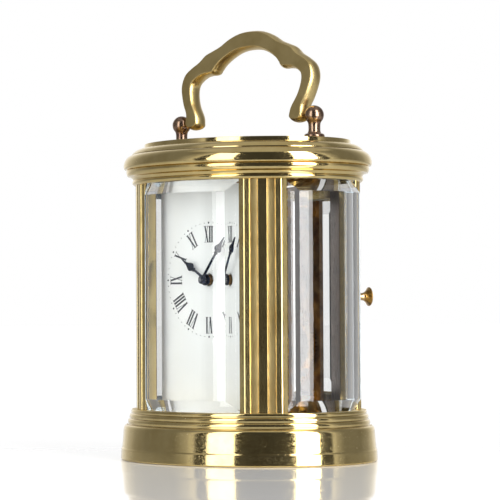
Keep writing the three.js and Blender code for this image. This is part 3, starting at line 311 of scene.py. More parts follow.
def hollows(outline, closed=False):
    """How deep each point of an outline sits in an inner corner, from 0 to 1."""
    depths = []
    for i, point in enumerate(outline):
        if not closed and i in (0, len(outline) - 1):
            depths.append(0.0)
            continue
        before = point - outline[i - 1]
        after = outline[(i + 1) % len(outline)] - point
        turn = before.angle_signed(after, 0.0) if before.length and after.length else 0.0
        depths.append(max(0.0, min(1.0, turn / INNER_CORNER)))
    return depths


def smooth_path(points, steps):
    """A smooth line through the points, with a number of steps in each span."""
    points = [Vector(p) for p in points]
    ends = [points[0] * 2 - points[1], *points, points[-1] * 2 - points[-2]]
    path = []
    for a, b, c, d in zip(ends, ends[1:], ends[2:], ends[3:]):
        for i in range(steps):
            t = i / steps
            path.append(0.5 * (2 * b + (c - a) * t + (2 * a - 5 * b + 4 * c - d) * t ** 2
                               + (3 * b - a - 3 * c + d) * t ** 3))
    return [*path, points[-1]]


# The oval

def oval_normal(angle):
    return Vector((OVAL_Y * math.cos(angle), OVAL_X * math.sin(angle))).normalized()


def oval_point(angle, offset, height):
    """A point at an offset outside the oval, at a height."""
    normal = oval_normal(angle)
    return Vector((OVAL_X * math.cos(angle) + offset * normal.x,
                   OVAL_Y * math.sin(angle) + offset * normal.y, height))


def oval_band(offset, height):
    """A level line of points all round the oval."""
    angles = [2 * math.pi * j / OVAL_STEPS for j in range(OVAL_STEPS)]
    return [oval_point(angle, offset, height) for angle in angles]


def oval_pace(angle):
    """Length of the oval's edge for each radian of the angle."""
    return math.hypot(OVAL_X * math.sin(angle), OVAL_Y * math.cos(angle))


PILLAR_PACE = oval_pace(PILLAR_ANGLE)


# Meshes, as lists of points and faces

def swept(rings, loop=False, capped=False):
    """Rings of points, each joined to the next one. A ring of one point closes the surface there."""
    starts = [sum(len(ring) for ring in rings[:i]) for i in range(len(rings))]
    faces = []
    for i in range(len(rings) if loop else len(rings) - 1):
        k = (i + 1) % len(rings)
        for j in range(max(len(rings[i]), len(rings[k]))):
            here = [starts[i] + j % len(rings[i]), starts[i] + (j + 1) % len(rings[i])]
            there = [starts[k] + (j + 1) % len(rings[k]), starts[k] + j % len(rings[k])]
            faces.append(list(dict.fromkeys(here + there)))
    if capped:
        faces.append(list(range(len(rings[0]))))
        faces.append(list(range(starts[-1], starts[-1] + len(rings[-1]))))
    return [point for ring in rings for point in ring], faces


def merged(*shapes):
    points = []
    faces = []
    for shape_points, shape_faces in shapes:
        faces.extend([i + len(points) for i in face] for face in shape_faces)
        points.extend(shape_points)
    return points, faces


def placed(shape, matrix):
    points, faces = shape
    return [matrix @ point for point in points], faces


def turned(profile, steps=64):
    """A turned shape about Z from [radius, height] pairs."""
    rings = []
    for radius, height in profile:
        if radius < LEAST:
            rings.append([Vector((0, 0, height))])
            continue
        angles = [2 * math.pi * j / steps for j in range(steps)]
        rings.append([Vector((radius * math.cos(a), radius * math.sin(a), height)) for a in angles])
    return swept(rings)


def prism(outline, front, back):
    """A flat shape seen from the front, with depth from one Y to another."""
    rings = [[Vector((x, y, z)) for x, z in outline] for y in (front, back)]
    return swept(rings, capped=True)


def piece(name, shape, materials, body, *nodes, slot=None, crease=30):
    """A shown piece that rides on a body and stands for some of the solids."""
    points, faces = shape
    mesh = bpy.data.meshes.new(name)
    mesh.from_pydata([point * MM for point in points], [], faces)
    outward = bmesh.new()
    outward.from_mesh(mesh)
    bmesh.ops.recalc_face_normals(outward, faces=outward.faces)
    outward.to_mesh(mesh)
    outward.free()
    mesh.shade_smooth()
    mesh.set_sharp_from_angle(angle=math.radians(crease))
    for material in materials:
        mesh.materials.append(material)
    made = bpy.data.objects.new(name, mesh)
    bpy.context.scene.collection.objects.link(made)
    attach(made, body)
    if nodes:
        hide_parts(*nodes)
    return made


def even_shading(made):
    """Keeps the flats flat between rounded edges."""
    shading = made.modifiers.new("even_shading", "WEIGHTED_NORMAL")
    shading.keep_sharp = True


def mark_hollows(made, depths):
    """Keeps how deep each point sits in an inner corner, for the brown in the brass's inner corners."""
    attribute = made.data.attributes.new("hollow", "FLOAT", "POINT")
    attribute.data.foreach_set("value", depths)


# Materials

def shader_of(material):
    return material.node_tree.nodes["Principled BSDF"]


def new_material(name):
    material = bpy.data.materials.new(name)
    material.use_nodes = True
    return material, material.node_tree, shader_of(material)


def noise(tree, pattern, stretch=EVEN_GRAIN):
    """The plain noise of a pattern, over the piece's own place."""
    place = tree.nodes.new("ShaderNodeTexCoord")
    mapping = tree.nodes.new("ShaderNodeMapping")
    mapping.inputs["Scale"].default_value = stretch
    texture = tree.nodes.new("ShaderNodeTexNoise")
    texture.inputs["Scale"].default_value = pattern.scale
    texture.inputs["Detail"].default_value = pattern.detail
    tree.links.new(place.outputs["Object"], mapping.inputs["Vector"])
    tree.links.new(mapping.outputs["Vector"], texture.inputs["Vector"])
    return texture.outputs["Fac"]


def remap(tree, source, start, end, low=0, high=1):
    """A value that goes from low to high while the source goes from start to end."""
    node = tree.nodes.new("ShaderNodeMapRange")
    for name, value in (("From Min", start), ("From Max", end), ("To Min", low), ("To Max", high)):
        node.inputs[name].default_value = value
    tree.links.new(source, node.inputs["Value"])
    return node.outputs["Result"]


def spread(tree, pattern, low=0, high=1):
    """A pattern that goes from a low to a high value."""
    return remap(tree, noise(tree, pattern), pattern.start, pattern.end, low, high)


def combined(tree, operation, first, second):
    """Two outputs put through one operation of the Math node."""
    node = tree.nodes.new("ShaderNodeMath")
    node.operation = operation
    tree.links.new(first, node.inputs[0])
    tree.links.new(second, node.inputs[1])
    return node.outputs["Value"]


def mix(tree, factor, first, second):
    """Mixes colours by a factor. A colour is three numbers or another node's output."""
    node = tree.nodes.new("ShaderNodeMix")
    node.data_type = "RGBA"
    tree.links.new(factor, node.inputs["Factor"])
    sockets = [s for s in node.inputs if s.type == "RGBA"]
    for socket, colour in zip(sockets, (first, second)):
        if isinstance(colour, tuple):
            socket.default_value = (*colour, 1)
        else:
            tree.links.new(colour, socket)
    return next(s for s in node.outputs if s.type == "RGBA")


def set_look(tree, shader, colour, roughness):
    tree.links.new(colour, shader.inputs["Base Color"])
    tree.links.new(roughness, shader.inputs["Roughness"])


def set_relief(tree, shader, marks, strength):
    node = tree.nodes.new("ShaderNodeBump")
    node.inputs["Strength"].default_value = strength
    node.inputs["Distance"].default_value = MARK_DEPTH * MM
    tree.links.new(marks, node.inputs["Height"])
    tree.links.new(node.outputs["Normal"], shader.inputs["Normal"])


def corner_brown(tree):
    """Brown patches in the inner corners."""
    hollow = tree.nodes.new("ShaderNodeAttribute")
    hollow.attribute_name = "hollow"
    corner = remap(tree, hollow.outputs["Fac"], *CORNER_BROWN_SPAN)
    return combined(tree, "MULTIPLY", corner, spread(tree, BRASS_CORNER_PATCHES, CORNER_BROWN_LEAST, 1))


def dull_specks(tree, dullness):
    """Fine dull specks that lie in worn patches."""
    return combined(tree, "MULTIPLY", spread(tree, BRASS_SPECKS, 0, dullness), spread(tree, BRASS_WEAR))


def brass(name, tones, rough, grain=EVEN_GRAIN, relief=BRASS_RELIEF, dullness=0):
    """Brass with clouded colour, brown in its inner corners, and fine marks that follow the grain."""
    material, tree, shader = new_material(name)
    marks = noise(tree, BRASS_MARKS, grain)
    colour = mix(tree, spread(tree, BRASS_CLOUDS), *tones)
    roughness = remap(tree, marks, BRASS_MARKS.start, BRASS_MARKS.end, *rough)
    if dullness:
        roughness = combined(tree, "ADD", roughness, dull_specks(tree, dullness))
    set_look(tree, shader, mix(tree, corner_brown(tree), colour, CORNER_BROWN), roughness)
    shader.inputs["Metallic"].default_value = 1
    if relief:
        set_relief(tree, shader, marks, relief)
    return material


def plain_metal(name, tones, rough):
    material, tree, shader = new_material(name)
    marks = noise(tree, METAL_MARKS)
    colour = mix(tree, spread(tree, METAL_CLOUDS), *tones)
    set_look(tree, shader, colour, remap(tree, marks, METAL_MARKS.start, METAL_MARKS.end, *rough))
    shader.inputs["Metallic"].default_value = 1
    set_relief(tree, shader, marks, METAL_RELIEF)
    return material


def plain_finish(name, tones, clouds, gloss, rough):
    """A finish with clouded colour and uneven gloss."""
    material, tree, shader = new_material(name)
    set_look(tree, shader, mix(tree, spread(tree, clouds), *tones), spread(tree, gloss, *rough))
    return material


def glass(name, tones, tint, smears, rough, clearness):
    material = plain_finish(name, tones, tint, smears, rough)
    shader = shader_of(material)
    shader.inputs["Transmission Weight"].default_value = clearness
    shader.inputs["IOR"].default_value = GLASS_IOR
    return material


# Finishes, with their tones and their least and most roughness
FINISHES = {
    "polished_brass": brass("polished_brass", GOLD, (0.05, 0.17), ROUND_GRAIN, dullness=0.17),
    # The movement's brass is darkened as painted shade
    "movement_brass": plain_metal("movement_brass", SHADE_DARKENED_BRASS, (0.36, 0.48)),
    "bronze": plain_metal("bronze", BRONZE, (0.16, 0.3)),
    "steel": plain_metal("steel", STEEL, (0.18, 0.32)),
    "blued_steel": plain_metal("blued_steel", BLUED_STEEL, (0.2, 0.34)),
    "clear_glass": glass("clear_glass", CLEAR, GLASS_TINT, GLASS_SMEARS, (0, 0.03), 1),
    "enamel": plain_finish("enamel", ENAMEL_WHITE, ENAMEL_CLOUDS, ENAMEL_GLOSS, (0.12, 0.22)),
}
PILLAR_BRASS = brass("pillar_brass", GOLD, (0.15, 0.24), UPRIGHT_GRAIN)
SATIN_BRASS = brass("satin_brass", SATIN_GOLD, (0.3, 0.4), UPRIGHT_GRAIN)
SATIN_TOP = brass("satin_top", GOLD, (0.36, 0.46))
# Tarnished brass with painted shade in its colour
TARNISHED_SHADED_BRASS = brass("tarnished_shaded_brass", TARNISH_AND_SHADE, (0.26, 0.4), UPRIGHT_GRAIN)
HANDLE_BRASS = brass("handle_brass", HANDLE_GOLD, (0.3, 0.34), COARSE_GRAIN, relief=0)
KNOB_BRASS = brass("knob_brass", KNOB_GOLD, (0.1, 0.22))
GROUND_GLASS = glass("ground_glass", GROUND, GROUND_TINT, GROUND_GRAIN, (0.5, 0.7), GROUND_CLEARNESS)
INK = plain_finish("numeral_ink", INK_BLACK, INK_WEAR, INK_GLOSS, (0.3, 0.5))


def finish_solids():
    """Gives each solid the finish of its slot. The barrel and the pillars of the movement are polished."""
    for part in frame["record"]["subparts"]:
        slots = frame["nodes"][part["node"]].data.materials
        slots.clear()
        bright = part["node"] == "barrel" or part["node"].startswith("plate_pillar")
        slots.append(FINISHES["polished_brass" if bright else part["material_slot"]])


# Case

def moulding(name, node, profile, loop=False):
    """A moulding round the oval from [offset, height] pairs, with satin tops."""
    outline = soften(profile, ARRIS, closed=loop)
    rings = [oval_band(offset, height) for offset, height in outline]
    depths = [depth for depth in hollows(outline, loop) for _ in range(OVAL_STEPS)]
    if not loop:
        rings = [[Vector((0, 0, profile[0][1]))], *rings, [Vector((0, 0, profile[-1][1]))]]
        depths = [0.0, *depths, 0.0]
    finishes = [FINISHES["polished_brass"], SATIN_TOP]
    made = piece(name, swept(rings, loop), finishes, "case", node, slot="polished_brass")
    for face in made.data.polygons:
        if face.normal.z > LEVEL_TOP:
            face.material_index = finishes.index(SATIN_TOP)
    mark_hollows(made, depths)
    even_shading(made)


def add_base():
    moulding("base_moulding", "base", [
        (1, BASE_FLOOR),
        (1, 0),
        (5, 0),
        (5.3, 0.4),
        (5.15, 3.8),
        (4.95, 4.15),
        *curve((4.9, 4.4), (4.55, 7.6), (4.4, 10.2), 3),
        *curve((4.4, 10.2), (4.3, 11.6), (3.2, 11.75)),
        (2.85, 11.85),
        *curve((2.85, 12.2), (3.05, 13), (2.7, 13.55), 5),
        (2.3, 13.75),
        *curve((2.3, 14), (2.5, 14.8), (2.15, 15.3), 5),
        (1.75, 15.5),
        *curve((1.75, 15.7), (1.9, 16.4), (1.6, BASE_TOP), 5),
    ])


def add_cornice():
    moulding("cornice_moulding", "cornice", [
        (-6.2, CORNICE_BOTTOM),
        (0.4, CORNICE_BOTTOM),
        *curve((0.7, 91.7), (1.5, 92.5), (0.85, 93.35), 6),
        *curve((0.9, 93.4), (1.2, 94.5), (2.6, 94.6), 6),
        *curve((2.75, 94.7), (3.3, 95.7), (3.1, 96.6), 6),
        (2.8, 96.75),
        *curve((3.7, 96.95), (4.05, 97.2), (4.05, 98.3), 6),
        *curve((4.05, 98.3), (3.7, 100.9), (1.5, 101.7), 14),
        (1.25, 101.75),
        (1.2, 102.1),
        *curve((1.1, 102.15), (0, 103.7), (-2.4, 104), 8),
        (-3, 104),
        (-3, CORNICE_TOP),
        (-14.6, CORNICE_TOP),
        (-14.6, TOP_GLASS_LEDGE),
        (-16.5, TOP_GLASS_LEDGE),
        (-16.5, 101.6),
        (-6.2, 101.6),
    ], loop=True)


# Half a pillar's outline, as distances from the middle of its face and depths from it
PILLAR_FACE = [
    (1.5, 0),
    (1.7, -0.65),
    (2.85, -0.75),
    (4, -0.65),
    (4.2, 0),
    *curve((5.7, 0), (6.4, 0), (6.55, -0.45), 5),
]
PILLAR_GLASS_SIDE = [
    (6.6, -0.65),
    (7.7, -1.3),
    (7.7, -1.75),
    (6.2, -1.75),
    (6.2, -4.4),
    (7.2, -4.4),
    (6, -6.7),
]
PILLAR_DOOR_SIDE = [
    (5.6, -3.6),
    (8.4, -3.6),
    (8.4, -4.7),
    (6, -6.7),
]


def pillar_half(side, door_side):
    """Half a pillar's outline, bent to the oval. One side may have the door beside it."""
    outline = PILLAR_FACE + (PILLAR_DOOR_SIDE if side == door_side else PILLAR_GLASS_SIDE)
    return [(side * along, depth - along ** 2 / (2 * PILLAR_CURVE)) for along, depth in outline]


def finish_pillar(made, outline, finishes):
    """Picks the finish of each face from its place on the outline."""
    for face in made.data.polygons:
        places = [outline[i % len(outline)] for i in face.vertices]
        along = abs(sum(p.x for p in places)) / len(places)
        depth = sum(p.y + p.x ** 2 / (2 * PILLAR_CURVE) for p in places) / len(places)
        # Insides and grooves get tarnish darkened as painted shade
        if depth < PILLAR_INSIDE or PILLAR_GROOVE[0] < depth < PILLAR_GROOVE[1]:
            face.material_index = finishes.index(TARNISHED_SHADED_BRASS)
        elif CHANNEL[0] < along < CHANNEL[1]:
            face.material_index = finishes.index(SATIN_BRASS)


def add_pillar(name, angle, door_side=None):
    """A grooved pillar, drawn with its face toward +Y and turned to face out of the oval."""
    half_outlines = [*reversed(pillar_half(-1, door_side)), *pillar_half(1, door_side)]
    outline = soften(half_outlines, ARRIS, closed=True)
    outline.reverse()
    ends = [[p.to_3d() + Vector((0, 0, z)) for p in outline] for z in (BASE_TOP, CORNICE_BOTTOM)]
    normal = oval_normal(angle)
    turn = Matrix.Rotation(math.atan2(normal.y, normal.x) - math.pi / 2, 4, "Z")
    shape = placed(swept(ends, capped=True), Matrix.Translation(oval_point(angle, 0, 0)) @ turn)
    finishes = [PILLAR_BRASS, SATIN_BRASS, TARNISHED_SHADED_BRASS]
    made = piece(f"{name}_finished", shape, finishes, "case", name, slot="polished_brass")
    finish_pillar(made, outline, finishes)
    mark_hollows(made, hollows(outline, True) * len(ends))
    even_shading(made)


def oval_ring(span, heights, depth, aside=0, ends=0, steps=48):
    """A four-sided ring on the oval, drawn in from a span of angles and from its two heights."""
    lead = aside / oval_pace(span[0])
    start, end = span[0] + lead, span[1] - lead
    angles = [start + (end - start) * i / steps for i in range(steps + 1)]
    lower = [oval_point(angle, depth, heights[0] + ends) for angle in angles]
    upper = [oval_point(angle, depth, heights[1] - ends) for angle in reversed(angles)]
    return lower + upper


def ring_cap(first, count):
    """Upright strips of faces that fill an oval ring whose points start at an index."""
    last = first + count - 1
    return [[first + j, first + j + 1, last - 1 - j, last - j] for j in range(count // 2 - 1)]


def add_pane(name, body, span, heights, depths, bevel):
    """A curved pane with a bevel cut on its outer face along all four edges, which are ground."""
    face, edge, back = depths
    rings = [
        oval_ring(span, heights, face, *bevel),
        oval_ring(span, heights, edge),
        oval_ring(span, heights, back),
    ]
    points, faces = swept(rings)
    count = len(rings[0])
    faces += ring_cap(0, count) + ring_cap(2 * count, count)
    finishes = [FINISHES["clear_glass"], GROUND_GLASS]
    made = piece(f"{name}_finished", (points, faces), finishes, body, name,
                 slot="clear_glass", crease=GLASS_CREASE)
    for ground in made.data.polygons[count:2 * count]:
        ground.material_index = finishes.index(GROUND_GLASS)
    made.visible_shadow = False


def add_case_panes():
    lead = GLASS_END / PILLAR_PACE
    side = PILLAR_ANGLE - lead
    front = PILLAR_ANGLE + lead
    spans = {
        "front_glass": (math.pi + front, 2 * math.pi - front),
        "left_glass": (math.pi - side, math.pi + side),
        "right_glass": (-side, side),
    }
    for name, span in spans.items():
        add_pane(name, "case", span, (BASE_TOP, CORNICE_BOTTOM), GLASS_DEPTHS, GLASS_BEVEL)


def add_top_glass():
    """The window in the top. It stays out of reflections, where its glints are only grain."""
    profile = [(-14.9, TOP_GLASS_LEDGE), (-14.9, 104.2), (-18.6, 105.2)]
    shape = swept([oval_band(offset, height) for offset, height in profile], capped=True)
    made = piece("top_glass_finished", shape, [FINISHES["clear_glass"]], "case", "top_glass",
                 slot="clear_glass", crease=GLASS_CREASE)
    made.visible_shadow = False
    made.visible_glossy = False


# Back door

def door_frame(span):
    """The frame of the door, with the long knuckle that turns on the hinge pins."""
    section = soften([
        (0, DOOR_BACK),
        (0, DOOR_FACE),
        (DOOR_STILE, DOOR_FACE),
        (DOOR_STILE, DOOR_LIP),
        (DOOR_STILE - DOOR_LIP_WIDTH, DOOR_LIP),
        (DOOR_STILE - DOOR_LIP_WIDTH, DOOR_BACK),
    ], ARRIS, closed=True)
    section.reverse()
    rings = [oval_ring(span, (DOOR_BOTTOM, DOOR_TOP), depth, inset, inset) for inset, depth in section]
    knuckle = turned([
        (0, DOOR_BOTTOM),
        (DOOR_KNUCKLE_RADIUS, DOOR_BOTTOM),
        (DOOR_KNUCKLE_RADIUS, DOOR_TOP),
        (0, DOOR_TOP),
    ], DOOR_KNUCKLE_STEPS)
    pin = oval_point(span[1], DOOR_PIN_DEPTH, 0)
    return merged(swept(rings, loop=True), placed(knuckle, Matrix.Translation(pin)))


def add_door():
    span = (PILLAR_ANGLE + DOOR_END / PILLAR_PACE, math.pi - PILLAR_ANGLE - DOOR_HINGE_END / PILLAR_PACE)
    made = piece("door_frame_finished", door_frame(span), [PILLAR_BRASS], "door", "door_frame",
                 slot="polished_brass")
    even_shading(made)
    reach = DOOR_STILE - DOOR_REBATE
    window = (span[0] + reach / PILLAR_PACE, span[1] - reach / PILLAR_PACE)
    add_pane("door_glass", "door", window, (DOOR_BOTTOM + reach, DOOR_TOP - reach), DOOR_GLASS, DOOR_BEVEL)
    add_knob()


def add_knob():
    angle = PILLAR_ANGLE + KNOB_END / PILLAR_PACE
    normal = oval_normal(angle).to_3d()
    profile = [
        (0, -2.6),
        (0.7, -2.6),
        (0.7, 0.1),
        (1.8, 0.1),
        *curve((1.8, 0.5), (1.75, 1), (1.25, 1.2), 5),
        *curve((1.25, 4.6), (1.3, 6), (KNOB_HEAD - 0.05, 7.15), 12),
        (KNOB_HEAD, 7.25),
        *curve((KNOB_HEAD, 7.4), (2.6, 8), (0, 8), 10),
    ]
    place = Matrix.Translation(oval_point(angle, DOOR_FACE, KNOB_HEIGHT))
    turn = Vector((0, 0, 1)).rotation_difference(normal).to_matrix().to_4x4()
    shape = placed(turned(soften(profile, KNOB_ARRIS)), place @ turn)
    made = piece("door_knob_finished", shape, [KNOB_BRASS], "door", "door_knob", slot="polished_brass")
    even_shading(made)


# Handle

def handle_edge(half, side):
    """Points and outward directions along one edge of the handle, from under one foot to the other."""
    middle = (HANDLE_OUTSIDE[0][0] + HANDLE_INSIDE[0][0]) / 2
    radius = (HANDLE_OUTSIDE[0][0] - HANDLE_INSIDE[0][0]) / 2
    turns = [math.radians(degrees) for degrees in FOOT_TURNS]
    foot = [Vector((middle + side * radius * math.cos(a), -HANDLE_FOOT * math.sin(a))) for a in turns]
    over = smooth_path([*half, *((-x, y) for x, y in reversed(half[:-1]))], HANDLE_STEPS)
    points = [*foot, *over, *(Vector((-p.x, p.y)) for p in reversed(foot))]
    ways = [b - a for a, b in zip([points[0], *points], [*points[1:], points[-1]])]
    return [(point, side * Vector((way.y, -way.x)).normalized()) for point, way in zip(points, ways)]


def handle_side():
    """Section of a rounded side of the handle, front to back: how far it stands out, then its depth."""
    half_depth = HANDLE_DEPTH / 2
    sweep = 2 * math.atan(HANDLE_SWELL / half_depth)
    radius = half_depth / math.sin(sweep)
    turns = [sweep * (i / SIDE_STEPS - 1) for i in range(2 * SIDE_STEPS + 1)]
    arc = [(radius * (math.cos(a) - math.cos(sweep)), radius * math.sin(a)) for a in turns]
    flat = -1  # any place on the flat face, toward which the edge is rounded
    return soften([(flat, -half_depth), *arc, (flat, half_depth)], HANDLE_EDGE)[1:-1]


def add_handle():
    section = handle_side()
    rings = []
    for outer, inner in zip(handle_edge(HANDLE_OUTSIDE, 1), handle_edge(HANDLE_INSIDE, -1)):
        ring = [(outer[0] + outer[1] * out, depth) for out, depth in section]
        ring += [(inner[0] + inner[1] * out, depth) for out, depth in reversed(section)]
        rings.append([Vector((place.x, depth, place.y)) for place, depth in ring])
    lean = Matrix.Translation((0, 0, PIVOT_Z)) @ Matrix.Rotation(-HANDLE_LEAN, 4, "X")
    shape = placed(swept(rings, capped=True), lean)
    made = piece("handle_finished", shape, [HANDLE_BRASS], "handle", "handle", slot="polished_brass")
    even_shading(made)


def add_posts():
    middle = PIVOT_Z - CORNICE_TOP
    turns = [math.radians(degrees) for degrees in POST_TURNS]
    ball = [(POST_BALL * math.cos(a), middle + POST_BALL * math.sin(a)) for a in turns]
    profile = [
        (0, 0),
        (3.3, 0),
        *curve((3.3, 0.3), (3.5, 0.9), (3.1, 1.35), 6),
        *curve((2.7, 1.5), (2, 1.7), (1.95, 2.8), 6),
        *curve((1.95, 3.6), (1.95, 5), ball[0], 7),
        *ball[1:],
        (0, middle + POST_BALL),
    ]
    for side, name in ((-1, "handle_post_left"), (1, "handle_post_right")):
        shape = placed(turned(profile), Matrix.Translation((side * POST_X, 0, CORNICE_TOP)))
        made = piece(f"{name}_finished", shape, [FINISHES["bronze"]], "case", name, slot="bronze")
        even_shading(made)


# Dial and hands

def on_dial(angle, across, out):
    """A place on the dial, from a clock angle, a distance across it and one out from the centre."""
    return (across * math.cos(angle) + out * math.sin(angle),
            DIAL_Z - across * math.sin(angle) + out * math.cos(angle))


def stroke(top, bottom, width):
    """A stroke between two places across, at the top and the bottom of a letter."""
    half = NUMERAL_HEIGHT / 2
    aside = width / 2
    return [(bottom - aside, -half), (bottom + aside, -half), (top + aside, half), (top - aside, half)]


def serif(across, width, level):
    """A fine cross line on the end of a stroke. The level is 1 at the top and -1 at the bottom."""
    end = level * NUMERAL_HEIGHT / 2
    inner = level * (NUMERAL_HEIGHT / 2 - SERIF)
    left = across - width / 2 - OVERHANG
    right = across + width / 2 + OVERHANG
    return [(left, end), (right, end), (right, inner), (left, inner)]


def letter(name, middle):
    """Outlines of one letter, with thick and thin strokes."""
    left = middle - LETTER_LEAN
    right = middle + LETTER_LEAN
    if name == "I":
        strokes = [(middle, middle, THICK)]
    elif name == "V":
        strokes = [(left, middle, THICK), (right, middle, THIN)]
    else:
        strokes = [(left, right, THICK), (right, left, THIN)]
    outlines = [stroke(*s) for s in strokes]
    outlines += [serif(top, width, 1) for top, _, width in strokes]
    if name != "V":
        outlines += [serif(bottom, width, -1) for _, bottom, width in strokes]
    return outlines


def add_numerals():
    shapes = []
    for hour, text in enumerate(NUMERALS):
        angle = 2 * math.pi * hour / len(NUMERALS)
        start = -sum(LETTER_WIDTH[name] for name in text) / 2
        for name in text:
            for outline in letter(name, start + LETTER_WIDTH[name] / 2):
                places = [on_dial(angle, across, NUMERAL_RADIUS + out) for across, out in outline]
                shapes.append(prism(places, DIAL_FRONT - INK_DEPTH, DIAL_FRONT + INK_DEPTH))
            start += LETTER_WIDTH[name]
    piece("dial_numerals", merged(*shapes), [INK], "case")


def add_minute_dots():
    shapes = []
    for minute in range(MINUTES):
        angle = 2 * math.pi * minute / MINUTES
        radius = MINUTE_DOT if minute % MINUTES_BETWEEN_HOURS else HOUR_DOT
        turns = [2 * math.pi * i / DOT_STEPS for i in range(DOT_STEPS)]
        places = [on_dial(angle, radius * math.cos(t), DOT_RADIUS + radius * math.sin(t)) for t in turns]
        shapes.append(prism(places, DIAL_FRONT - INK_DEPTH, DIAL_FRONT + INK_DEPTH))
    piece("dial_minute_dots", merged(*shapes), [INK], "case")


def hand_outline(length, leaf, boss):
    """The outline of a spade hand that points up, with its leaf widest at a distance from the centre."""
    start = math.asin(HAND_STEM / boss)
    rim = [math.pi + (start - math.pi) * i / HAND_BOSS_STEPS for i in range(HAND_BOSS_STEPS + 1)]
    half = [(boss * math.sin(a), boss * math.cos(a)) for a in rim]
    spade = [HAND_NECK, *curve(*HAND_BEAD, steps=6), *smooth_path(HAND_LEAF, steps=5)]
    half += [(x, leaf + y) for x, y in spade]
    half += [(HAND_TIP, length)]
    return half + [(-x, y) for x, y in reversed(half) if x > LEAST]


def add_hand(node, body, length, leaf, boss, front, turn):
    """A spade hand with bevelled edges. Its front is a place along Y."""
    outline = hand_outline(length, leaf, boss)
    rings = []
    for inset, depth in HAND_SECTION:
        inner = [x - math.copysign(min(inset, HAND_INSET_SHARE * abs(x)), x) for x, _ in outline]
        rings.append([Vector((x, front + depth, z)) for x, (_, z) in zip(inner, outline)])
    place = Matrix.Translation((0, 0, DIAL_Z)) @ Matrix.Rotation(turn, 4, "Y")
    shape = placed(swept(rings, capped=True), place)
    made = piece(f"{node}_finished", shape, [FINISHES["blued_steel"]], body, node, slot="blued_steel")
    even_shading(made)


# Studio

def rotated_aside(angle):
    """A level direction, turned from the way to the camera toward the right of the picture."""
    turn = CAMERA_AZIMUTH + angle
    return Vector((math.sin(turn), -math.cos(turn), 0))


def add_softbox(name, centre, aim, size, radiance):
    light = bpy.data.lights.new(name, "AREA")
    light.shape = "RECTANGLE"
    light.size, light.size_y = size
    light.energy = radiance * math.pi * size[0] * size[1]
    lamp = bpy.data.objects.new(name, light)
    lamp.location = centre
    lamp.rotation_mode = "QUATERNION"
    lamp.rotation_quaternion = (aim - centre).to_track_quat("-Z", "Y")
    bpy.context.scene.collection.objects.link(lamp)


def add_lights():
    """Two tall softboxes beside the camera, which reach below the level of the floor."""
    for name, (degrees, width, top, radiance) in SOFTBOXES.items():
        middle = Vector((0, 0, (top + SOFTBOX_BOTTOM) / 2))
        centre = rotated_aside(math.radians(degrees)) * SOFTBOX_DISTANCE + middle
        add_softbox(name, centre, middle, (width, top - SOFTBOX_BOTTOM), radiance)


def surroundings(tree):
    """White behind the clock, grey at its sides, pale beside the dark behind the camera, and a ceiling."""
    way = tree.nodes.new("ShaderNodeTexCoord")
    facing = tree.nodes.new("ShaderNodeVectorMath")
    facing.operation = "DOT_PRODUCT"
    facing.inputs[1].default_value = rotated_aside(0)
    tree.links.new(way.outputs["Generated"], facing.inputs[0])
    ramp = tree.nodes.new("ShaderNodeValToRGB")
    tree.links.new(remap(tree, facing.outputs["Value"], -1, 1), ramp.inputs["Fac"])
    stops = ramp.color_ramp.elements
    for position, _ in WORLD_LEVELS[2:]:
        stops.new(position)
    for stop, (position, level) in zip(stops, WORLD_LEVELS):
        stop.position = position
        stop.color = (level, level, level, 1)
    height = tree.nodes.new("ShaderNodeSeparateXYZ")
    tree.links.new(way.outputs["Generated"], height.inputs["Vector"])
    ceiling = remap(tree, height.outputs["Z"], *CEILING_SPAN)
    return mix(tree, ceiling, ramp.outputs["Color"], CEILING_GREY)


def add_world():
    """The surroundings, with plain white where they are seen straight or only through glass."""
    world = bpy.data.worlds.new("studio")
    bpy.context.scene.world = world
    world.use_nodes = True
    tree = world.node_tree
    path = tree.nodes.new("ShaderNodeLightPath")
    unreflected = remap(tree, path.outputs["Glossy Depth"], 0, 1, 1, 0)
    through = combined(tree, "MULTIPLY", path.outputs["Is Transmission Ray"], unreflected)
    colour = mix(tree, through, surroundings(tree), WHITE)
    colour = mix(tree, path.outputs["Is Camera Ray"], colour, WHITE)
    tree.links.new(colour, tree.nodes["Background"].inputs["Color"])


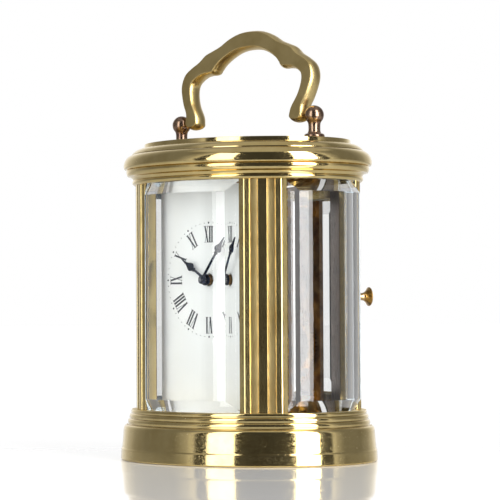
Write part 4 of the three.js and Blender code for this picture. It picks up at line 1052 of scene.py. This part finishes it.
def floor_finish():
    """A pale glossy floor that looks a little brighter to the camera than its light makes it."""
    material = plain_finish("studio_floor", FLOOR_WHITE, FLOOR_CLOUDS, FLOOR_GLOSS, (0.02, 0.05))
    tree = material.node_tree
    shader = shader_of(material)
    shader.inputs["IOR"].default_value = FLOOR_IOR
    shader.inputs["Emission Color"].default_value = (*WHITE, 1)
    path = tree.nodes.new("ShaderNodeLightPath")
    haze = remap(tree, path.outputs["Is Camera Ray"], 0, 1, 0, FLOOR_HAZE)
    tree.links.new(haze, shader.inputs["Emission Strength"])
    return material


def add_floor():
    mesh = bpy.data.meshes.new("floor")
    front = rotated_aside(0) * FLOOR_FRONT
    back = rotated_aside(math.pi) * FLOOR_REACH
    aside = rotated_aside(math.pi / 2) * FLOOR_REACH
    mesh.from_pydata([front - aside, front + aside, back + aside, back - aside], [], [(0, 1, 2, 3)])
    mesh.materials.append(floor_finish())
    floor = bpy.data.objects.new("floor", mesh)
    floor.location.z = FLOOR_LEVEL
    bpy.context.scene.collection.objects.link(floor)


def add_camera():
    data = bpy.data.cameras.new("camera")
    data.sensor_width = CAMERA_SENSOR
    data.lens = CAMERA_LENS
    camera = bpy.data.objects.new("camera", data)
    camera.location = (rotated_aside(0) * CAMERA_DISTANCE + Vector((0, 0, CAMERA_HEIGHT))) * MM
    aim = (rotated_aside(math.pi / 2) * CAMERA_AIM_ASIDE + Vector((0, 0, CAMERA_AIM_HEIGHT))) * MM
    look = (aim - camera.location).to_track_quat("-Z", "Y")
    camera.rotation_mode = "QUATERNION"
    camera.rotation_quaternion = look @ Quaternion((0, 0, 1), CAMERA_ROLL)
    bpy.context.scene.collection.objects.link(camera)
    bpy.context.scene.camera = camera


bpy.context.scene.view_settings.view_transform = "Standard"
add_camera()
add_lights()
add_world()
add_floor()
finish_solids()
add_base()
add_cornice()
add_pillar("pillar_rear_right", PILLAR_ANGLE, door_side=-1)
add_pillar("pillar_rear_left", math.pi - PILLAR_ANGLE, door_side=1)
add_pillar("pillar_front_left", math.pi + PILLAR_ANGLE)
add_pillar("pillar_front_right", -PILLAR_ANGLE)
add_case_panes()
add_top_glass()
add_door()
add_handle()
add_posts()
add_numerals()
add_minute_dots()
add_hand("hour_hand", "hour", length=12.4, leaf=7.8, boss=1.9, front=-19.4, turn=HOUR_TURN)
add_hand("minute_hand", "hand_setting", length=16.8, leaf=12.2, boss=1.4, front=-20.9, turn=MINUTE_TURN)
